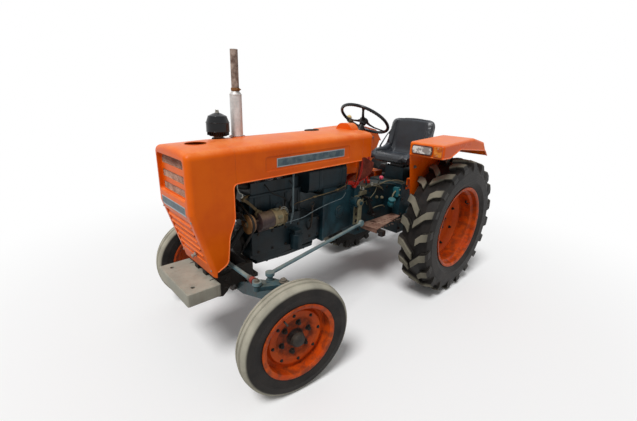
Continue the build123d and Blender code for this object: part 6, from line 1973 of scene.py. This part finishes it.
# Dash: one round dial, the key switch and two warning lamps, facing the driver
dash = dict(
    face=0.9735, dialZ=1.205, markRadius=0.031, marks=11, markStep=27, firstMark=225, keyX=-0.085, keyZ=1.165,
    lampsX=(0.075, 0.105), lampZ=1.170,
    ring=[(-0.002, 0.043), (0.006, 0.045), (0.009, 0.043), (0.009, 0.039), (0.004, 0.0385)],
    keySwitch=[(-0.002, 0.014), (0.004, 0.014), (0.006, 0.011), (0.010, 0.011), (0.010, 0.003), (0.006, 0)],
    field=[(0.002, 0.039), (0.004, 0.039), (0.004, 0)],
    lamp=[(-0.002, 0.0085), (0.003, 0.0085), (0.006, 0.0065), (0.008, 0.003), (0.008, 0)],
)


def makeDial():
    y = back(dash["face"])
    form = bmesh.new()
    addLathe(form, (0, y, dash["dialZ"]), (0, 1, 0), dash["ring"], 40)
    addLathe(form, (dash["keyX"], y, dash["keyZ"]), (0, 1, 0), dash["keySwitch"], 20)
    makePiece("dialRing", form, "boltZinc", bevel=0.0005)
    form = bmesh.new()
    addLathe(form, (0, y, dash["dialZ"]), (0, 1, 0), dash["field"], 40)
    addBlock(form, (dash["keyX"], y + 0.016, dash["keyZ"]), (0.004, 0.018, 0.020))
    makePiece("dialFace", form, "columnBlack")
    form = bmesh.new()
    for k in range(dash["marks"]):
        turn = math.radians(dash["firstMark"] - dash["markStep"] * k)
        radius = dash["markRadius"]
        place = (-radius * math.cos(turn), y + 0.0045, dash["dialZ"] + radius * math.sin(turn))
        addBlock(form, place, (0.0085 if k % 2 == 0 else 0.005, 0.001, 0.0016), (0, math.degrees(turn), 0))
    addBlock(form, (0.008, y + 0.0052, dash["dialZ"] + 0.008), (0.030, 0.001, 0.0022), (0, -45, 0))
    makePiece("dialMarks", form, "platePale")
    form = bmesh.new()
    for x in dash["lampsX"]:
        addLathe(form, (x, y, dash["lampZ"]), (0, 1, 0), dash["lamp"], 20)
    makePiece("warningLamps", form, "leverRed")


makeDial()

# Rear: housing and splines of the power take-off, and the drawbar's pin
rearTrim = dict(
    shaftZ=0.560, housingD=1.7395, boltsD=1.7510, splineD=1.793, splines=6, splineRadius=0.0165, pinBack=1.965,
    pinZ=0.320, ringZ=0.386,
    housing=[
        (0, 0.062), (0.010, 0.062), (0.012, 0.058), (0.012, 0.034), (0.030, 0.034), (0.032, 0.030), (0.032, 0.0178)
    ],
    pin=[(0, 0), (0, 0.010), (0.046, 0.010), (0.046, 0.016), (0.050, 0.016), (0.052, 0.010), (0.052, 0)],
)


def makeRearTrim():
    form = bmesh.new()
    addLathe(form, (0, back(rearTrim["housingD"]), rearTrim["shaftZ"]), (0, 1, 0), rearTrim["housing"], 36)
    addBoltRing(form, (0, back(rearTrim["boltsD"]), rearTrim["shaftZ"]), (0, 1, 0), 0.048, 6, 0.013, 0.007)
    makePiece("shaftHousing", form, "caseEnamel", bevel=0.0008)
    form = bmesh.new()
    for k in range(rearTrim["splines"]):
        turn = math.radians(60 * k)
        radius = rearTrim["splineRadius"]
        place = (radius * math.cos(turn), back(rearTrim["splineD"]), rearTrim["shaftZ"] + radius * math.sin(turn))
        addBlock(form, place, (0.005, 0.044, 0.0075), (0, -math.degrees(turn), 0))
    addLathe(form, (0, back(rearTrim["pinBack"]), rearTrim["pinZ"]), (0, 0, 1), rearTrim["pin"], 20)
    addHoop(form, (0, back(rearTrim["pinBack"]), rearTrim["ringZ"]), (1, 0, 0), 0.015, 0.0032, 24)
    makePiece("drawbarPin", form, "linkSteel", bevel=0.0006)


makeRearTrim()
print("small fittings made")


# Pale floor that runs out to white, under a soft overcast light
studio = dict(radius=30.0, skyStrength=0.36, sunStrength=2.3, sunSoftness=20.0, sunTilt=30.0, sunTurn=20.0)


def makeFloor():
    mesh = bpy.data.meshes.new("floor")
    form = bmesh.new()
    bmesh.ops.create_circle(form, cap_ends=True, radius=studio["radius"], segments=64)
    form.to_mesh(mesh)
    form.free()
    floor = bpy.data.objects.new("floor", mesh)
    bpy.context.scene.collection.objects.link(floor)
    material = bpy.data.materials.new("paleFloor")
    material.use_nodes = True
    tree = material.node_tree
    tree.nodes.clear()
    place = addNode(tree, "ShaderNodeTexCoord").outputs["Object"]
    distance = addNode(tree, "ShaderNodeVectorMath", operation="LENGTH")
    plug(tree, place, distance.inputs[0])
    seen = addNode(tree, "ShaderNodeLightPath")
    direct = calc(tree, "ADD", seen.outputs["Is Camera Ray"], seen.outputs["Is Glossy Ray"])
    direct = calc(tree, "ADD", direct, seen.outputs["Is Transmission Ray"], clamp=True)
    fade = calc(tree, "MULTIPLY", spread(tree, distance.outputs["Value"], 1.7, 3.6), direct)
    matt = addNode(tree, "ShaderNodeBsdfDiffuse")
    bounced = spread(tree, direct, 0.0, 1.0, 0.5, 0.93)
    plug(tree, bounced, matt.inputs["Color"])
    white = addNode(tree, "ShaderNodeEmission")
    mix = addNode(tree, "ShaderNodeMixShader")
    plug(tree, fade, mix.inputs[0])
    plug(tree, matt.outputs[0], mix.inputs[1])
    plug(tree, white.outputs[0], mix.inputs[2])
    output = addNode(tree, "ShaderNodeOutputMaterial")
    plug(tree, mix.outputs[0], output.inputs["Surface"])
    floor.data.materials.append(material)


def makeSky():
    world = bpy.data.worlds.new("overcast")
    bpy.context.scene.world = world
    world.use_nodes = True
    tree = world.node_tree
    tree.nodes.clear()
    seen = addNode(tree, "ShaderNodeLightPath")
    direct = calc(tree, "ADD", seen.outputs["Is Camera Ray"], seen.outputs["Is Glossy Ray"])
    direct = calc(tree, "ADD", direct, seen.outputs["Is Transmission Ray"], clamp=True)
    sky = addNode(tree, "ShaderNodeBackground")
    sky.inputs["Color"].default_value = (1, 1, 1, 1)
    plug(tree, spread(tree, direct, 0.0, 1.0, studio["skyStrength"], 1.0), sky.inputs["Strength"])
    output = addNode(tree, "ShaderNodeOutputWorld")
    plug(tree, sky.outputs[0], output.inputs["Surface"])
    sun = bpy.data.lights.new("softSun", "SUN")
    sun.energy = studio["sunStrength"]
    sun.angle = math.radians(studio["sunSoftness"])
    lamp = bpy.data.objects.new("softSun", sun)
    lamp.rotation_euler = (math.radians(studio["sunTilt"]), 0, math.radians(studio["sunTurn"]))
    bpy.context.scene.collection.objects.link(lamp)


makeFloor()
makeSky()

# The photograph's viewpoint
viewpoint = dict(x=1.7014, y=-1.8491, z=1.4822, turn=46.764, tilt=18.548, roll=1.933, lens=19.3726, clip=0.05)


def makeCamera():
    turn, tilt, roll = (math.radians(viewpoint[k]) for k in ("turn", "tilt", "roll"))
    backward = Vector((math.sin(turn) * math.cos(tilt), -math.cos(turn) * math.cos(tilt), math.sin(tilt)))
    right = (-backward).cross(Vector((0, 0, 1))).normalized()
    up = right.cross(-backward)
    across = right * math.cos(roll) + up * math.sin(roll)
    upward = up * math.cos(roll) - right * math.sin(roll)
    lens = bpy.data.cameras.new("camera")
    lens.lens = viewpoint["lens"]
    lens.clip_start = viewpoint["clip"]
    camera = bpy.data.objects.new("camera", lens)
    camera.matrix_world = Matrix.LocRotScale(
        Vector((viewpoint["x"], viewpoint["y"], viewpoint["z"])),
        Matrix((across, upward, backward)).transposed().to_quaternion(),
        Vector((1, 1, 1)),
    )
    bpy.context.scene.collection.objects.link(camera)
    bpy.context.scene.camera = camera


makeCamera()
bpy.context.scene.view_settings.view_transform = "Standard"
print("studio and camera set")
